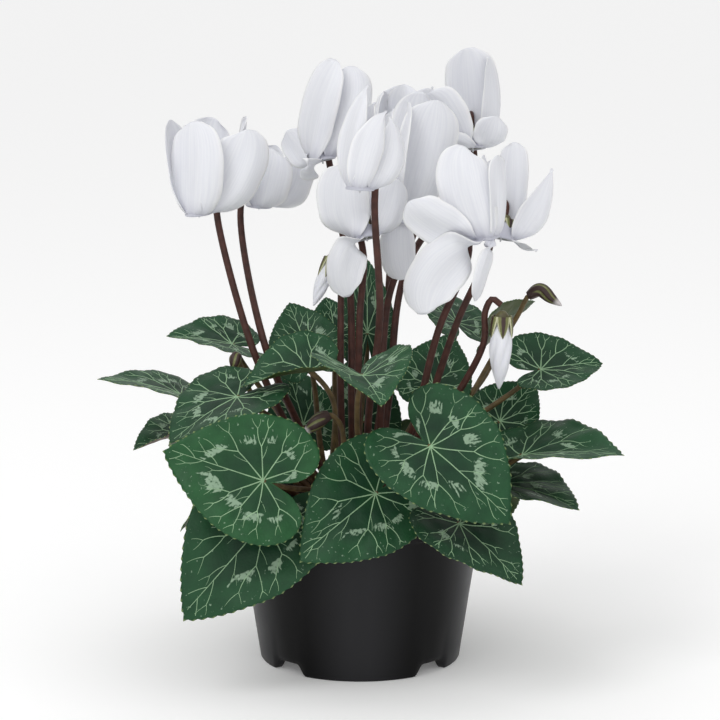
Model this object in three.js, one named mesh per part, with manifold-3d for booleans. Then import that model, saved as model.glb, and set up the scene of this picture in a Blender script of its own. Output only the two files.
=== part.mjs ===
import * as THREE from 'three';
import { mergeVertices } from 'three/addons/utils/BufferGeometryUtils.js';
import Module from 'manifold-3d';

const wasm = await Module();
wasm.setup();

// A white cyclamen in a black nursery pot, in millimetres, +Z up. The origin is on the pot's axis,
// on the surface that the pot stands on, and the plant's best side looks along -Y.
const gap = 0.3;
const stalkGap = 0.4;
const sliver = 0.18;

const pot = {
  height: 76, baseRadius: 47.5, rimRadius: 59, wall: 1.5, lipHeight: 9, lipProud: 1.6,
  floorHeight: 6, floorThickness: 1.6, footWidth: 4.5, sides: 36,
  archWidth: 21.5, archTop: 11, archHeight: 5.4, drainRadius: 4, drainDistance: 27,
};
const soil = { edgeHeight: 65, crownHeight: 68, sides: 20 };
const tuber = { radius: 27, halfHeight: 12, centre: 65, sides: 16 };

const leafStalk = { radius: 1.5, sides: 4, steps: 4, sunk: 4, innerRing: 17.5, outerRing: 22.5 };
const lowLeafHeight = 98;
const flowerStalk = { radius: 1.7, sides: 5, steps: 5, hookSteps: 5, depth: 5 };

const blade = {
  thickness: 0.85, points: 24, ring: 0.6, tooth: 0.03, softness: 0.06, waves: 3,
  fold: 0.14, droop: 0.14, wave: 0.03, wide: 1, arrive: 0.5,
};
// Half of a blade's outline, from the tip round to the notch at the stalk, for a midrib of length 1.
const halfOutline = [
  [0, 1], [0.13, 0.9], [0.36, 0.66], [0.56, 0.36], [0.635, 0.05],
  [0.6, -0.22], [0.46, -0.42], [0.27, -0.47], [0.09, -0.34], [0, -0.09],
];

// Each leaf: where its stalk joins the blade, its tip, and the way its upper face looks.
const leaves = [
  { joint: [-43, -75, 101.5], tip: [-86, -79, 116], facing: [-0.1, -0.93, 0.36] },
  { joint: [7, -60, 92], tip: [-25, -84, 68], facing: [0.25, -0.8, 0.45], wide: 0.9 },
  { joint: [31, -76, 117], tip: [67, -92, 89], facing: [0.15, -0.75, 0.64], rootAngle: -56, rise: 36 },
  { joint: [44, -76, 82], tip: [73, -92, 63], facing: [0.2, -0.5, 0.84], rootAngle: -36 },
  { joint: [-43, -62, 80], tip: [-78, -84, 41], facing: [0.15, -0.85, 0.5], wide: 0.85, arrive: 0.6 },
  { joint: [-56, -38, 132], tip: [-86, -62, 120], facing: [-0.05, -0.22, 0.97] },
  { joint: [-84, -6, 127], tip: [-119, -18, 142], facing: [0, -0.12, 0.99], wide: 0.85, rootAngle: 200 },
  { joint: [-84, 12, 104], tip: [-107, -1, 104], facing: [-0.5, -0.3, 0.8], fold: 0.5 },
  { joint: [-64, -22, 88], tip: [-85, -32, 70], facing: [-0.6, 0.3, 0.7] },
  { joint: [-61, 18, 147], tip: [-90, 10, 156], facing: [-0.1, -0.3, 0.95], fold: 0.25 },
  { joint: [-23, -31, 143], tip: [-54, -36, 141], facing: [0, -0.25, 0.97], fold: 0.6 },
  { joint: [1, -63, 146.5], tip: [9, -97, 144.5], facing: [0, -0.2, 0.98], fold: 0.55 },
  { joint: [85, 0, 138], tip: [115, 8, 142], facing: [0, -0.55, 0.84], fold: 0.3 },
  { joint: [75, -25, 102], tip: [118, -45, 113], facing: [0.05, -0.16, 0.98], arrive: 0.3, fold: 0.25 },
  { joint: [64, -15, 86], tip: [100, -39, 87], facing: [0.1, -0.15, 0.98] },
  { joint: [-25, 12, 144], tip: [-34, 26, 167], facing: [0, -0.85, 0.5], rootAngle: 140 },
  { joint: [-12, 26, 150], tip: [-16, 36, 168], facing: [0.2, -0.85, 0.5] },
  { joint: [66, 44, 150], tip: [83, 56, 164], facing: [0.1, 0.6, 0.75] },
  { joint: [48, 64, 150], tip: [40, 88, 166], facing: [-0.1, 0.6, 0.75] },
  { joint: [35, 22, 127], tip: [45, 36, 150], facing: [0.2, -0.75, 0.6] },
  { joint: [3.6, 46.3, 148], tip: [3, 60, 184], facing: [0, -0.9, 0.4], wide: 0.55, fold: 0.4, rootAngle: 93 },
  { joint: [67, 16, 110], tip: [85, 26, 128], facing: [0.3, -0.6, 0.7] },
  { joint: [62, 48, 104], tip: [94, 72, 100], facing: [0.3, 0.25, 0.9] },
  { joint: [38, 67, 113], tip: [52, 97, 101], facing: [0.15, 0.5, 0.85] },
  { joint: [1.5, 58, 102], tip: [-2.5, 69, 135], facing: [0, -0.93, 0.36], wide: 0.85 },
  { joint: [-28, 52, 101], tip: [-36, 62, 131], facing: [0.2, -0.9, 0.38], wide: 0.85 },
  { joint: [-66, 46, 100], tip: [-96, 66, 92], facing: [-0.35, 0.3, 0.88] },
  { joint: [14, 72, 84], tip: [20, 94, 50], facing: [0.1, 0.8, 0.55] },
  { joint: [-46, 62, 82], tip: [-66, 78, 50], facing: [-0.4, 0.7, 0.55] },
  { joint: [60, 52, 82], tip: [76, 64, 52], facing: [0.6, 0.55, 0.5] },
];

const petal = {
  rows: 4, thickness: 0.9, mouthRadius: 5.4, sunk: 1, start: -15, roll: 5, reach: 0.2,
  twist: 25, turned: 0.5, cupping: 0.2, base: 0.22, widest: 0.58, tip: 0.45,
  point: 0.15,
};
const tube = { radius: 4.6, height: 7.6, wall: 1, mouthDepth: 0.8, waist: 3, sides: 5 };
const hook = { distance: 8.6, drop: 8, rise: 9, top: 17, calyxRadius: 3.6, calyxLength: 3 };
const calyxSides = 6;
const roll = { rows: 5, sides: 6, twist: 0.9, tip: 0.35 };

// Each petal: its direction round the mouth, its middle, its tip, its half width and the way it faces.
const blooms = [
  {
    mouth: [-75, 0, 212], up: [-0.1, -0.06, 1], root: [-12, -1], way: [[-34, -8, 112], [-50, -11, 150]], side: 10,
    petals: [
      { from: 180, middle: [-85, 2, 234], tip: [-88, 5, 255], width: 10 },
      { from: 250, middle: [-74, -9, 232], tip: [-77, -7, 255], width: 13.5, facing: [-0.35, -0.93, 0] },
      { from: 318, middle: [-54, -6, 230], tip: [-52, -3, 251], width: 13.5, facing: [0.3, -0.95, 0] },
      { from: 30, middle: [-56, 11, 236], tip: [-53, 12, 256], width: 12 },
      { from: 105, middle: [-74, 13, 236], tip: [-68, 14, 255], width: 12 },
    ],
  },
  {
    mouth: [-49, 50, 210], up: [0.08, -0.05, 1], root: [-9, 7], way: [[-30, 6, 112], [-44, -2, 148]], side: 195,
    petals: [
      { from: 345, middle: [-32, 50, 221], tip: [-33, 54, 235], width: 13, facing: [0.35, -0.95, 0] },
      { from: 275, middle: [-47, 41, 224], tip: [-42, 42, 238], width: 13 },
      { from: 205, middle: [-60, 46, 224], tip: [-58, 48, 239], width: 12 },
      { from: 130, middle: [-56, 62, 224], tip: [-56, 63, 241], width: 12 },
      { from: 60, middle: [-43, 62, 224], tip: [-41, 63, 238], width: 12 },
    ],
  },
  {
    mouth: [-18, 31, 234], up: [-0.2, 0.15, 1], root: [-3, 5], way: [[-4, 8, 120], [-5, 26, 175]], side: 70,
    petals: [
      { from: 200, middle: [-24, 27, 257], tip: [-11, 31, 281], width: 10.5, facing: [-0.5, -0.85, 0.1] },
      { from: 320, middle: [-5, 28, 259], tip: [-5, 35, 278], width: 12, facing: [0.1, -0.95, 0] },
      { from: 165, middle: [-27, 38, 238], tip: [-35, 40, 247], width: 8, facing: [-0.3, -0.9, 0.2] },
      { from: 245, middle: [-21, 24, 227], tip: [-28, 22, 230], width: 8, facing: [0.1, -0.7, -0.7] },
      { from: 70, middle: [-10, 43, 259], tip: [-12, 44, 275], width: 12 },
    ],
  },
  {
    mouth: [0, -43, 228], up: [0.06, 0.05, 1], root: [3, -9], way: [[4, -19, 120], [9, -35, 170]], side: 35,
    petals: [
      { from: 195, middle: [-7, -48, 251], tip: [4, -43, 274], width: 7.5, pointed: 1, facing: [-0.7, -0.8, 0] },
      { from: 262, middle: [1, -51, 249], tip: [12, -48, 263], width: 7.5, pointed: 1, facing: [0.15, -1, 0] },
      { from: 335, middle: [17, -47, 242], tip: [13, -41, 260], width: 9, pointed: 1, facing: [0.45, -0.85, 0] },
      { from: 120, middle: [-4, -36, 249], tip: [7, -37, 266], width: 7.5, pointed: 1 },
      { from: 50, middle: [8, -35, 249], tip: [15, -35, 263], width: 8, pointed: 1 },
    ],
  },
  {
    mouth: [19, 22, 210], up: [0.2, -0.12, 1], root: [9, 1], way: [[10, 8, 120], [14, 22, 170]], side: -8,
    petals: [
      { from: 215, middle: [17, 16, 237], tip: [23, 20, 262], width: 12 },
      { from: 300, middle: [32, 12, 238], tip: [36, 18, 263], width: 15, facing: [0.25, -1, 0] },
      { from: 265, middle: [15, 12, 194], tip: [21, 13, 179], width: 8.5, facing: [-0.1, -1, -0.1] },
      { from: 85, middle: [25, 34, 239], tip: [29, 35, 266], width: 13 },
      { from: 15, middle: [44, 26, 232], tip: [46, 28, 253], width: 10 },
    ],
  },
  {
    mouth: [3, -2, 201], up: [-0.2, 0.25, 0.95], root: [-1, -2], way: [[-1, -2, 120], [0, -2, 165]], side: 110,
    petals: [
      { from: 185, middle: [-11, -8, 217], tip: [-6, -5, 234], width: 12.5, facing: [-0.15, -1, 0] },
      { from: 235, middle: [-11, -9, 193], tip: [-5, -9, 174], width: 9.5, facing: [-0.3, -1, 0] },
      { from: 110, middle: [-4, 8, 216], tip: [-5, 10, 231], width: 10 },
      { from: 40, middle: [8, 7, 215], tip: [7, 9, 231], width: 10 },
      { from: 330, middle: [14, -4, 212], tip: [17, 0, 228], width: 9 },
    ],
  },
  {
    mouth: [55, 60, 237], up: [-0.05, 0.2, 1], root: [8, 8], way: [[14, 25, 120], [23, 52, 180]], side: 90,
    petals: [
      { from: 80, middle: [56, 68, 261], tip: [52, 66, 285], width: 13.5, facing: [-0.1, -1, 0.1] },
      { from: 5, middle: [68, 61, 256], tip: [62, 64, 281], width: 9, facing: [0.85, -0.5, 0] },
      { from: 215, middle: [43, 53, 253], tip: [33, 51, 264], width: 12, facing: [-0.35, -0.9, -0.2] },
      { from: 325, middle: [62, 52, 241], tip: [66, 53, 253], width: 9, facing: [0.2, -0.8, -0.45] },
      { from: 262, middle: [48, 51, 237], tip: [41, 49, 243], width: 6.5, facing: [-0.1, -0.9, -0.4] },
    ],
  },
  {
    mouth: [57, -30, 205], up: [-0.1, -0.12, 1], root: [9, -6], way: [[24, -14, 110], [36, -22, 160]], side: 165,
    petals: [
      { from: 262, middle: [43, -38, 227], tip: [47, -34, 246], width: 12.5, facing: [-0.05, -1, 0] },
      { from: 195, middle: [35, -39, 209], tip: [22, -40, 222], width: 10.5, facing: [-0.1, -0.95, -0.25] },
      { from: 232, middle: [30, -36, 196], tip: [30, -37, 170], width: 12.5, facing: [-0.2, -1, 0] },
      { from: 325, middle: [63, -35, 226], tip: [62, -33, 242], width: 8, facing: [0.85, -0.5, 0] },
      { from: 292, middle: [55, -37, 190], tip: [52, -37, 176], width: 4.5, facing: [0.6, -0.8, 0] },
    ],
  },
  {
    mouth: [66, 4, 200], up: [0.2, 0.2, 1], root: [14, 3], way: [[30, 6, 112], [46, 6, 160]], side: 120,
    petals: [
      { from: 60, middle: [72, 10, 227], tip: [72, 12, 244], width: 7.5, facing: [0.1, -1, 0] },
      { from: 350, middle: [81, 0, 208], tip: [89, 0, 233], width: 7.5, pointed: 1, facing: [0.3, -0.9, 0.2] },
      { from: 335, middle: [73, 0, 195], tip: [83, -2, 195], width: 5, facing: [0.1, -0.25, -1] },
      { from: 115, middle: [66, 14, 223], tip: [66, 16, 237], width: 8 },
      { from: 185, middle: [58, 10, 221], tip: [58, 12, 238], width: 8 },
    ],
  },
  {
    mouth: [22, 79, 228], up: [0, -0.05, 1], root: [3, 12], way: [[11, 38, 120], [15, 64, 180]], side: 100,
    petals: [
      { from: 36, middle: [34, 87, 246], tip: [36, 89, 265], width: 13 },
      { from: 108, middle: [19, 91, 246], tip: [20, 93, 265], width: 12 },
      { from: 180, middle: [11, 81, 245], tip: [12, 82, 263], width: 12 },
      { from: 252, middle: [19, 70, 246], tip: [22, 72, 267], width: 13 },
      { from: 324, middle: [32, 73, 246], tip: [33, 75, 265], width: 13 },
    ],
  },
];

// Each big bud: its root on the crown, the line of its stalk, and the line of its rolled petals.
const buds = [
  {
    root: [-7, 1], way: [[-9, 0, 120], [-9, 5, 172]], hook: [[-9, 8, 187], [-11, 8, 193.5], [-14, 7, 190]],
    body: [[-14.4, 6.6, 187.6], [-16, 5, 183], [-18.6, 4, 176], [-21.8, 2, 168]], width: 3.6,
  },
  {
    root: [14, -5], way: [[34, -15, 110], [56.5, -29, 155.1]],
    hook: [[57.1, -32, 170.8], [60.2, -33, 176.5], [64.1, -34, 173.9]],
    body: [[64.6, -34, 166.5], [64.2, -34, 156.8], [63.9, -34, 146.2], [63.5, -34, 135.1]], width: 5.2,
  },
];
// Each small bud still has its sepals closed, and is one piece with its stalk and the tuber.
const smallBuds = [
  {
    root: [17, 7], way: [[46, 18, 110], [67, 29.5, 144], [76, 27, 160], [80.5, 25, 169.2], [85.9, 24, 172.2]],
    tip: [96.3, 21, 165], width: 3.4,
  },
  {
    root: [-5, -15], way: [[-7, -32, 100], [-9, -37, 119], [-14, -39, 124], [-18, -40, 122]],
    tip: [-26, -43, 116], width: 3.6,
  },
  {
    root: [-17, -3], way: [[-43, -3, 112], [-55, -4, 136], [-57, -6, 145], [-58, -9, 145]],
    tip: [-58.5, -11, 138], width: 3,
  },
];

const black = new THREE.MeshStandardMaterial({ color: 0x1f1f21, roughness: 0.38 });
const peat = new THREE.MeshStandardMaterial({ color: 0x2c2019, roughness: 0.95 });
const cork = new THREE.MeshStandardMaterial({ color: 0x5b3a2b, roughness: 0.7 });
const leafGreen = new THREE.MeshStandardMaterial({ color: 0x2f5f3c, roughness: 0.45 });
const redBrown = new THREE.MeshStandardMaterial({ color: 0x4d2c26, roughness: 0.55 });
const petalWhite = new THREE.MeshStandardMaterial({ color: 0xeceaf2, roughness: 0.5 });

const vec = (values) => new THREE.Vector3(...values);
const degrees = THREE.MathUtils.degToRad;
const smooth = (x) => THREE.MathUtils.smoothstep(x, 0, 1);
const mix = (a, amountOfA, b, amountOfB) => a.clone().multiplyScalar(amountOfA).addScaledVector(b, amountOfB);

function solidOf(geometry) {
  const bare = geometry.clone();
  bare.deleteAttribute('normal');
  bare.deleteAttribute('uv');
  const merged = mergeVertices(bare, 1e-4);
  const index = Array.from(merged.index.array);
  const kept = [];
  for (let i = 0; i < index.length; i += 3) {
    const [a, b, c] = index.slice(i, i + 3);
    if (a !== b && b !== c && c !== a) kept.push(a, b, c);
  }
  const mesh = new wasm.Mesh({
    numProp: 3,
    vertProperties: new Float32Array(merged.attributes.position.array),
    triVerts: new Uint32Array(kept),
  });
  return new wasm.Manifold(mesh);
}

function geometryOf(solid) {
  const mesh = solid.getMesh();
  const geometry = new THREE.BufferGeometry();
  geometry.setAttribute('position', new THREE.BufferAttribute(mesh.vertProperties, 3));
  geometry.setIndex(new THREE.BufferAttribute(mesh.triVerts, 1));
  geometry.computeVertexNormals();
  return geometry;
}

// Joined solids meet in slivers: they are merged, and nothing moves further than their width.
function tidy(solid) {
  return solid.asOriginal().simplify(sliver);
}

function largestPiece(solid) {
  return solid.decompose().sort((a, b) => b.volume() - a.volume())[0];
}

function node(name, shape, material) {
  const geometry = shape instanceof THREE.BufferGeometry ? shape : geometryOf(shape);
  const mesh = new THREE.Mesh(geometry, material);
  mesh.name = name;
  return mesh;
}

// A solid of revolution about Z from a profile of [radius, height] points.
function turned(profile, sides) {
  const points = profile.map(([radius, height]) => new THREE.Vector2(radius, height));
  return solidOf(new THREE.LatheGeometry(points, sides).rotateX(Math.PI / 2));
}

function polygon(radius, sides) {
  const corner = (k) => new THREE.Vector2(
    radius * Math.cos((2 * Math.PI * k) / sides),
    radius * Math.sin((2 * Math.PI * k) / sides),
  );
  return new THREE.Shape(Array.from({ length: sides }, (_, k) => corner(k)));
}

function rod(curve, radius, sides, steps) {
  const options = { steps, bevelEnabled: false, extrudePath: curve };
  return solidOf(new THREE.ExtrudeGeometry(polygon(radius, sides), options));
}

function throughPoints(points) {
  return new THREE.CatmullRomCurve3(points.map(vec), false, 'centripetal');
}

// A closed sheet from a grid-like mesh: the same triangles on both faces, and a wall round the edge.
function sheet(points, normals, triangles, border, thickness) {
  const positions = [];
  for (const sign of [0.5, -0.5]) {
    points.forEach((p, k) => positions.push(...p.clone().addScaledVector(normals[k], sign * thickness)));
  }
  const n = points.length;
  const index = [];
  for (const [a, b, c] of triangles) index.push(a, b, c, a + n, c + n, b + n);
  border.forEach((a, k) => {
    const b = border[(k + 1) % border.length];
    index.push(a, a + n, b + n, a, b + n, b);
  });
  const geometry = new THREE.BufferGeometry();
  geometry.setAttribute('position', new THREE.Float32BufferAttribute(positions, 3));
  geometry.setIndex(index);
  return geometry;
}

function makePot() {
  const { height, baseRadius, rimRadius, wall, floorHeight, floorThickness } = pot;
  const lipRadius = rimRadius + pot.lipProud;
  const belowLip = height - pot.lipHeight;
  const slope = (rimRadius - baseRadius) / height;
  const outside = (z) => baseRadius + slope * z;
  const floorTop = floorHeight + floorThickness;
  const body = turned([
    [0, floorHeight],
    [baseRadius - pot.footWidth, floorHeight],
    [baseRadius - pot.footWidth, 0],
    [baseRadius, 0],
    [outside(belowLip), belowLip],
    [lipRadius - 0.4, belowLip + 1],
    [lipRadius, height - 0.6],
    [lipRadius - 0.6, height],
    [rimRadius - wall, height],
    [outside(floorTop) - wall, floorTop],
    [0, floorTop],
  ], pot.sides);
  const cuts = [];
  for (const angle of [45, 135, 225, 315]) cuts.push(footArch(degrees(angle)));
  for (const angle of [0, 60, 120, 180, 240, 300]) cuts.push(drainHole(degrees(angle)));
  return cuts.reduce((shape, cut) => shape.subtract(cut), body);
}

// An S-shouldered arch through the foot ring, so that water can run out from under the pot.
function footArch(angle) {
  const half = pot.archWidth / 2;
  const top = pot.archTop / 2;
  const shape = new THREE.Shape();
  shape.moveTo(-half, -1);
  shape.lineTo(-half, 0);
  shape.bezierCurveTo(-top - 2, 0, -top - 3, pot.archHeight, -top, pot.archHeight);
  shape.lineTo(top, pot.archHeight);
  shape.bezierCurveTo(top + 3, pot.archHeight, top + 2, 0, half, 0);
  shape.lineTo(half, -1);
  const depth = 2.5 * pot.footWidth;
  const cut = new THREE.ExtrudeGeometry(shape, { depth, bevelEnabled: false, curveSegments: 4 });
  cut.rotateX(Math.PI / 2).rotateZ(Math.PI / 2);
  cut.translate(pot.baseRadius - 2 * pot.footWidth, 0, 0).rotateZ(angle);
  return solidOf(cut);
}

function drainHole(angle) {
  const hole = new THREE.CylinderGeometry(pot.drainRadius, pot.drainRadius, 4 * pot.floorThickness, 12);
  hole.rotateX(Math.PI / 2);
  const x = pot.drainDistance * Math.cos(angle);
  const y = pot.drainDistance * Math.sin(angle);
  return solidOf(hole.translate(x, y, pot.floorHeight));
}

function tuberProfile(grow) {
  const profile = [];
  const rings = 6;
  for (let k = 0; k <= rings; k += 1) {
    const angle = -Math.PI / 2 + (Math.PI * k) / rings;
    const radius = k % rings === 0 ? 0 : (tuber.radius + grow) * Math.cos(angle);
    profile.push([radius, tuber.centre + (tuber.halfHeight + grow) * Math.sin(angle)]);
  }
  return profile;
}

function makeSoil() {
  const slope = (pot.rimRadius - pot.baseRadius) / pot.height;
  const inside = (z) => pot.baseRadius + slope * z - pot.wall - gap - 0.3;
  const bottom = pot.floorHeight + pot.floorThickness + gap;
  const plug = turned([
    [0, bottom],
    [inside(bottom), bottom],
    [inside(soil.edgeHeight), soil.edgeHeight],
    [(tuber.radius + inside(soil.edgeHeight)) / 2, soil.edgeHeight + 1.5],
    [tuber.radius + 2, soil.crownHeight],
    [0, soil.crownHeight],
  ], soil.sides);
  return largestPiece(plug.subtract(turned(tuberProfile(gap), tuber.sides)));
}

function crownHeight(radius) {
  return tuber.centre + tuber.halfHeight * Math.sqrt(1 - (radius / tuber.radius) ** 2);
}

function bladeFrame(leaf) {
  const along = vec(leaf.tip).sub(vec(leaf.joint));
  const length = along.length();
  along.normalize();
  const normal = vec(leaf.facing);
  normal.addScaledVector(along, -normal.dot(along)).normalize();
  const across = new THREE.Vector3().crossVectors(along, normal);
  return { origin: vec(leaf.joint), along, normal, across, length };
}

function bladeHeight(x, y, leaf) {
  const crease = Math.sqrt(x * x + blade.softness ** 2) - blade.softness;
  const wave = leaf.wave * (x * x + y * y) * Math.sin(blade.waves * Math.atan2(x, y) + leaf.phase);
  return leaf.fold * crease - leaf.droop * Math.max(0, y) ** 2 + wave;
}

function bladeOutline(leaf) {
  const corners = halfOutline.map(([x, y]) => new THREE.Vector2(x, y));
  const right = new THREE.SplineCurve(corners).getSpacedPoints(blade.points / 2);
  const left = right.slice(1, -1).reverse();
  const loop = [...right.map((p) => [p.x, p.y]), ...left.map((p) => [-p.x, p.y])];
  return loop.map(([x, y], k) => {
    const tooth = 1 + (k % 2 === 0 ? blade.tooth : -blade.tooth);
    return [x * tooth * leaf.wide, y * tooth];
  });
}

function makeBlade(leaf) {
  const { origin, along, normal, across, length } = bladeFrame(leaf);
  const place = (x, y) => origin.clone()
    .addScaledVector(across, x * length)
    .addScaledVector(along, y * length)
    .addScaledVector(normal, bladeHeight(x, y, leaf) * length);
  const outline = bladeOutline(leaf);
  const points = outline.map(([x, y]) => place(x, y));
  const count = outline.length;
  for (let k = 0; k < count; k += 2) {
    points.push(place(outline[k][0] * blade.ring, outline[k][1] * blade.ring));
  }
  const centre = points.length;
  points.push(place(0, 0));
  const triangles = [];
  for (let k = 0; k < count; k += 2) {
    const here = count + k / 2;
    const next = count + ((k + 2) % count) / 2;
    triangles.push([k, here, k + 1], [k + 1, here, next], [k + 1, next, (k + 2) % count]);
    triangles.push([here, centre, next]);
  }
  const normals = points.map(() => normal);
  const border = outline.map((_, k) => k).reverse();
  return sheet(points, normals, triangles, border, blade.thickness);
}

// A leaf's stalk rises from the crown, bends out and meets its blade from below and behind.
function makeLeafStalk(leaf) {
  const { origin, along, normal } = bladeFrame(leaf);
  const low = leaf.joint[2] < lowLeafHeight;
  const ring = low ? leafStalk.outerRing : leafStalk.innerRing;
  const straightOut = THREE.MathUtils.radToDeg(Math.atan2(leaf.joint[1], leaf.joint[0]));
  const angle = degrees(leaf.rootAngle ?? straightOut);
  const outward = new THREE.Vector3(Math.cos(angle), Math.sin(angle), 0);
  const root = outward.clone().multiplyScalar(ring);
  root.z = crownHeight(ring) - leafStalk.sunk;
  const inward = normal.clone().multiplyScalar(leaf.arrive).addScaledVector(along, 1 - leaf.arrive);
  inward.normalize();
  const end = origin.clone().addScaledVector(inward, 2.5);
  const reach = root.distanceTo(end);
  const rise = leaf.rise ?? (low ? 20 : 0.5 * (end.z - root.z) + 6);
  const first = root.clone().addScaledVector(outward, 0.18 * reach);
  first.z += rise;
  const second = origin.clone().addScaledVector(inward, -0.4 * reach);
  const curve = new THREE.CubicBezierCurve3(root, first, second, end);
  const stalk = rod(curve, leafStalk.radius, leafStalk.sides, leafStalk.steps);
  const level = normal.dot(origin) - blade.thickness / 2 - gap;
  return stalk.trimByPlane(normal.clone().negate().toArray(), -level);
}

function bloomFrame(bloom) {
  const up = vec(bloom.up).normalize();
  const right = new THREE.Vector3(1, 0, 0);
  right.addScaledVector(up, -right.dot(up)).normalize();
  const back = new THREE.Vector3().crossVectors(up, right);
  const around = (angle) => mix(right, Math.cos(angle), back, Math.sin(angle));
  return { origin: vec(bloom.mouth), up, around };
}

// A petal leaves the mouth outwards, bends over its middle to its tip and turns to its facing.
function petalCurve(bloom, { from, middle, tip }) {
  const { origin, up, around } = bloomFrame(bloom);
  const out = around(degrees(from));
  const root = origin.clone().addScaledVector(out, petal.mouthRadius - petal.sunk);
  const slope = degrees(petal.start);
  const leave = mix(out, Math.cos(slope), up, Math.sin(slope));
  const second = root.clone().addScaledVector(leave, petal.roll);
  const third = vec(middle).addScaledVector(vec(tip).sub(root), petal.reach);
  return new THREE.CubicBezierCurve3(root, second, third, vec(tip));
}

function makePetal(bloom, each) {
  const { up, around } = bloomFrame(bloom);
  const out = around(degrees(each.from));
  const facing = each.facing ? vec(each.facing).normalize() : around(degrees(each.from - petal.twist));
  const curve = petalCurve(bloom, each);
  const points = [];
  const normals = [];
  for (let row = 0; row <= petal.rows; row += 1) {
    const s = row / petal.rows;
    const tangent = curve.getTangent(s);
    const outer = mix(out, tangent.dot(up), up, -tangent.dot(out)).normalize();
    const turned = smooth(s / petal.turned);
    const normal = mix(outer, 1 - turned, facing, turned);
    normal.addScaledVector(tangent, -normal.dot(tangent)).normalize();
    const cross = new THREE.Vector3().crossVectors(tangent, normal);
    const width = each.width * petalWidth(s, each.pointed);
    for (const t of [-1, 0, 1]) {
      const dish = -petal.cupping * width * t * t;
      points.push(curve.getPoint(s).addScaledVector(cross, t * width).addScaledVector(normal, dish));
      normals.push(normal);
    }
  }
  const triangles = [];
  for (let row = 0; row < petal.rows; row += 1) {
    for (const column of [0, 1]) {
      const a = 3 * row + column;
      triangles.push([a, a + 1, a + 4], [a, a + 4, a + 3]);
    }
  }
  const last = 3 * petal.rows;
  const border = [0, 1, 2];
  for (let row = 1; row <= petal.rows; row += 1) border.push(3 * row + 2);
  border.push(last + 1, last);
  for (let row = petal.rows - 1; row > 0; row -= 1) border.push(3 * row);
  return solidOf(sheet(points, normals, triangles, border, petal.thickness));
}

function petalWidth(s, pointed) {
  const { base, widest, tip, point } = petal;
  if (s < widest) return base + (1 - base) * Math.sin((Math.PI / 2) * (s / widest));
  const past = (s - widest) / (1 - widest);
  return pointed ? Math.max(point, 1 - past ** 1.4) : Math.max(tip, Math.sqrt(1 - past ** 3));
}

// The short tube that the petals grow from, closed at its top.
function corollaTube(bloom) {
  const { origin, up } = bloomFrame(bloom);
  const { radius, height, wall, mouthDepth, waist, sides } = tube;
  const shape = new THREE.LatheGeometry([
    [0, height - 2 * wall],
    [radius - wall, waist],
    [petal.mouthRadius - 1.5 * wall, -mouthDepth],
    [petal.mouthRadius + 1.5 * wall, -mouthDepth],
    [radius, waist],
    [radius - wall, height],
    [0, height],
  ].map(([r, z]) => new THREE.Vector2(r, z)), sides);
  const turnUp = new THREE.Quaternion().setFromUnitVectors(new THREE.Vector3(0, 1, 0), up);
  shape.applyQuaternion(turnUp).translate(...origin.toArray());
  return solidOf(shape);
}

// A flower's stalk, standing in the crown, hooks over beside the mouth and ends in the calyx.
function flowerStalkShape(bloom, radius, extra) {
  const { origin, up, around } = bloomFrame(bloom);
  const side = around(degrees(bloom.side));
  const beside = (out, rise) => origin.clone()
    .addScaledVector(side, out)
    .addScaledVector(up, rise)
    .toArray();
  const [x, y] = bloom.root;
  const seat = crownHeight(Math.hypot(x, y)) - flowerStalk.depth - extra;
  const { distance, drop, rise, top } = hook;
  const straight = throughPoints([
    [x, y, seat], ...bloom.way, beside(distance, -drop), beside(distance, rise),
  ]);
  const bent = throughPoints([
    beside(distance, rise - 2), beside(distance, rise), beside(0.8 * distance, top - 2),
    beside(0.45 * distance, top), beside(0.1 * distance, top - 2), beside(0, tube.height + 1),
  ]);
  return rod(straight, radius, flowerStalk.sides, flowerStalk.steps)
    .add(rod(bent, radius, flowerStalk.sides, flowerStalk.hookSteps));
}

function calyx(bloom, grow) {
  const { origin, up } = bloomFrame(bloom);
  const top = flowerStalk.radius + grow;
  const bottom = hook.calyxRadius + grow;
  const shape = new THREE.CylinderGeometry(top, bottom, hook.calyxLength, calyxSides);
  shape.translate(0, tube.height + gap + hook.calyxLength / 2, 0);
  const turnUp = new THREE.Quaternion().setFromUnitVectors(new THREE.Vector3(0, 1, 0), up);
  shape.applyQuaternion(turnUp).translate(...origin.toArray());
  return solidOf(shape);
}

function makeFlowerStalk(bloom) {
  return tidy(flowerStalkShape(bloom, flowerStalk.radius, 0).add(calyx(bloom, 0)));
}

function makeBloom(bloom) {
  let shape = corollaTube(bloom);
  for (const each of bloom.petals) shape = shape.add(makePetal(bloom, each));
  const room = flowerStalkShape(bloom, flowerStalk.radius + stalkGap, 0).add(calyx(bloom, stalkGap));
  return largestPiece(tidy(shape.subtract(room)));
}

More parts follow.
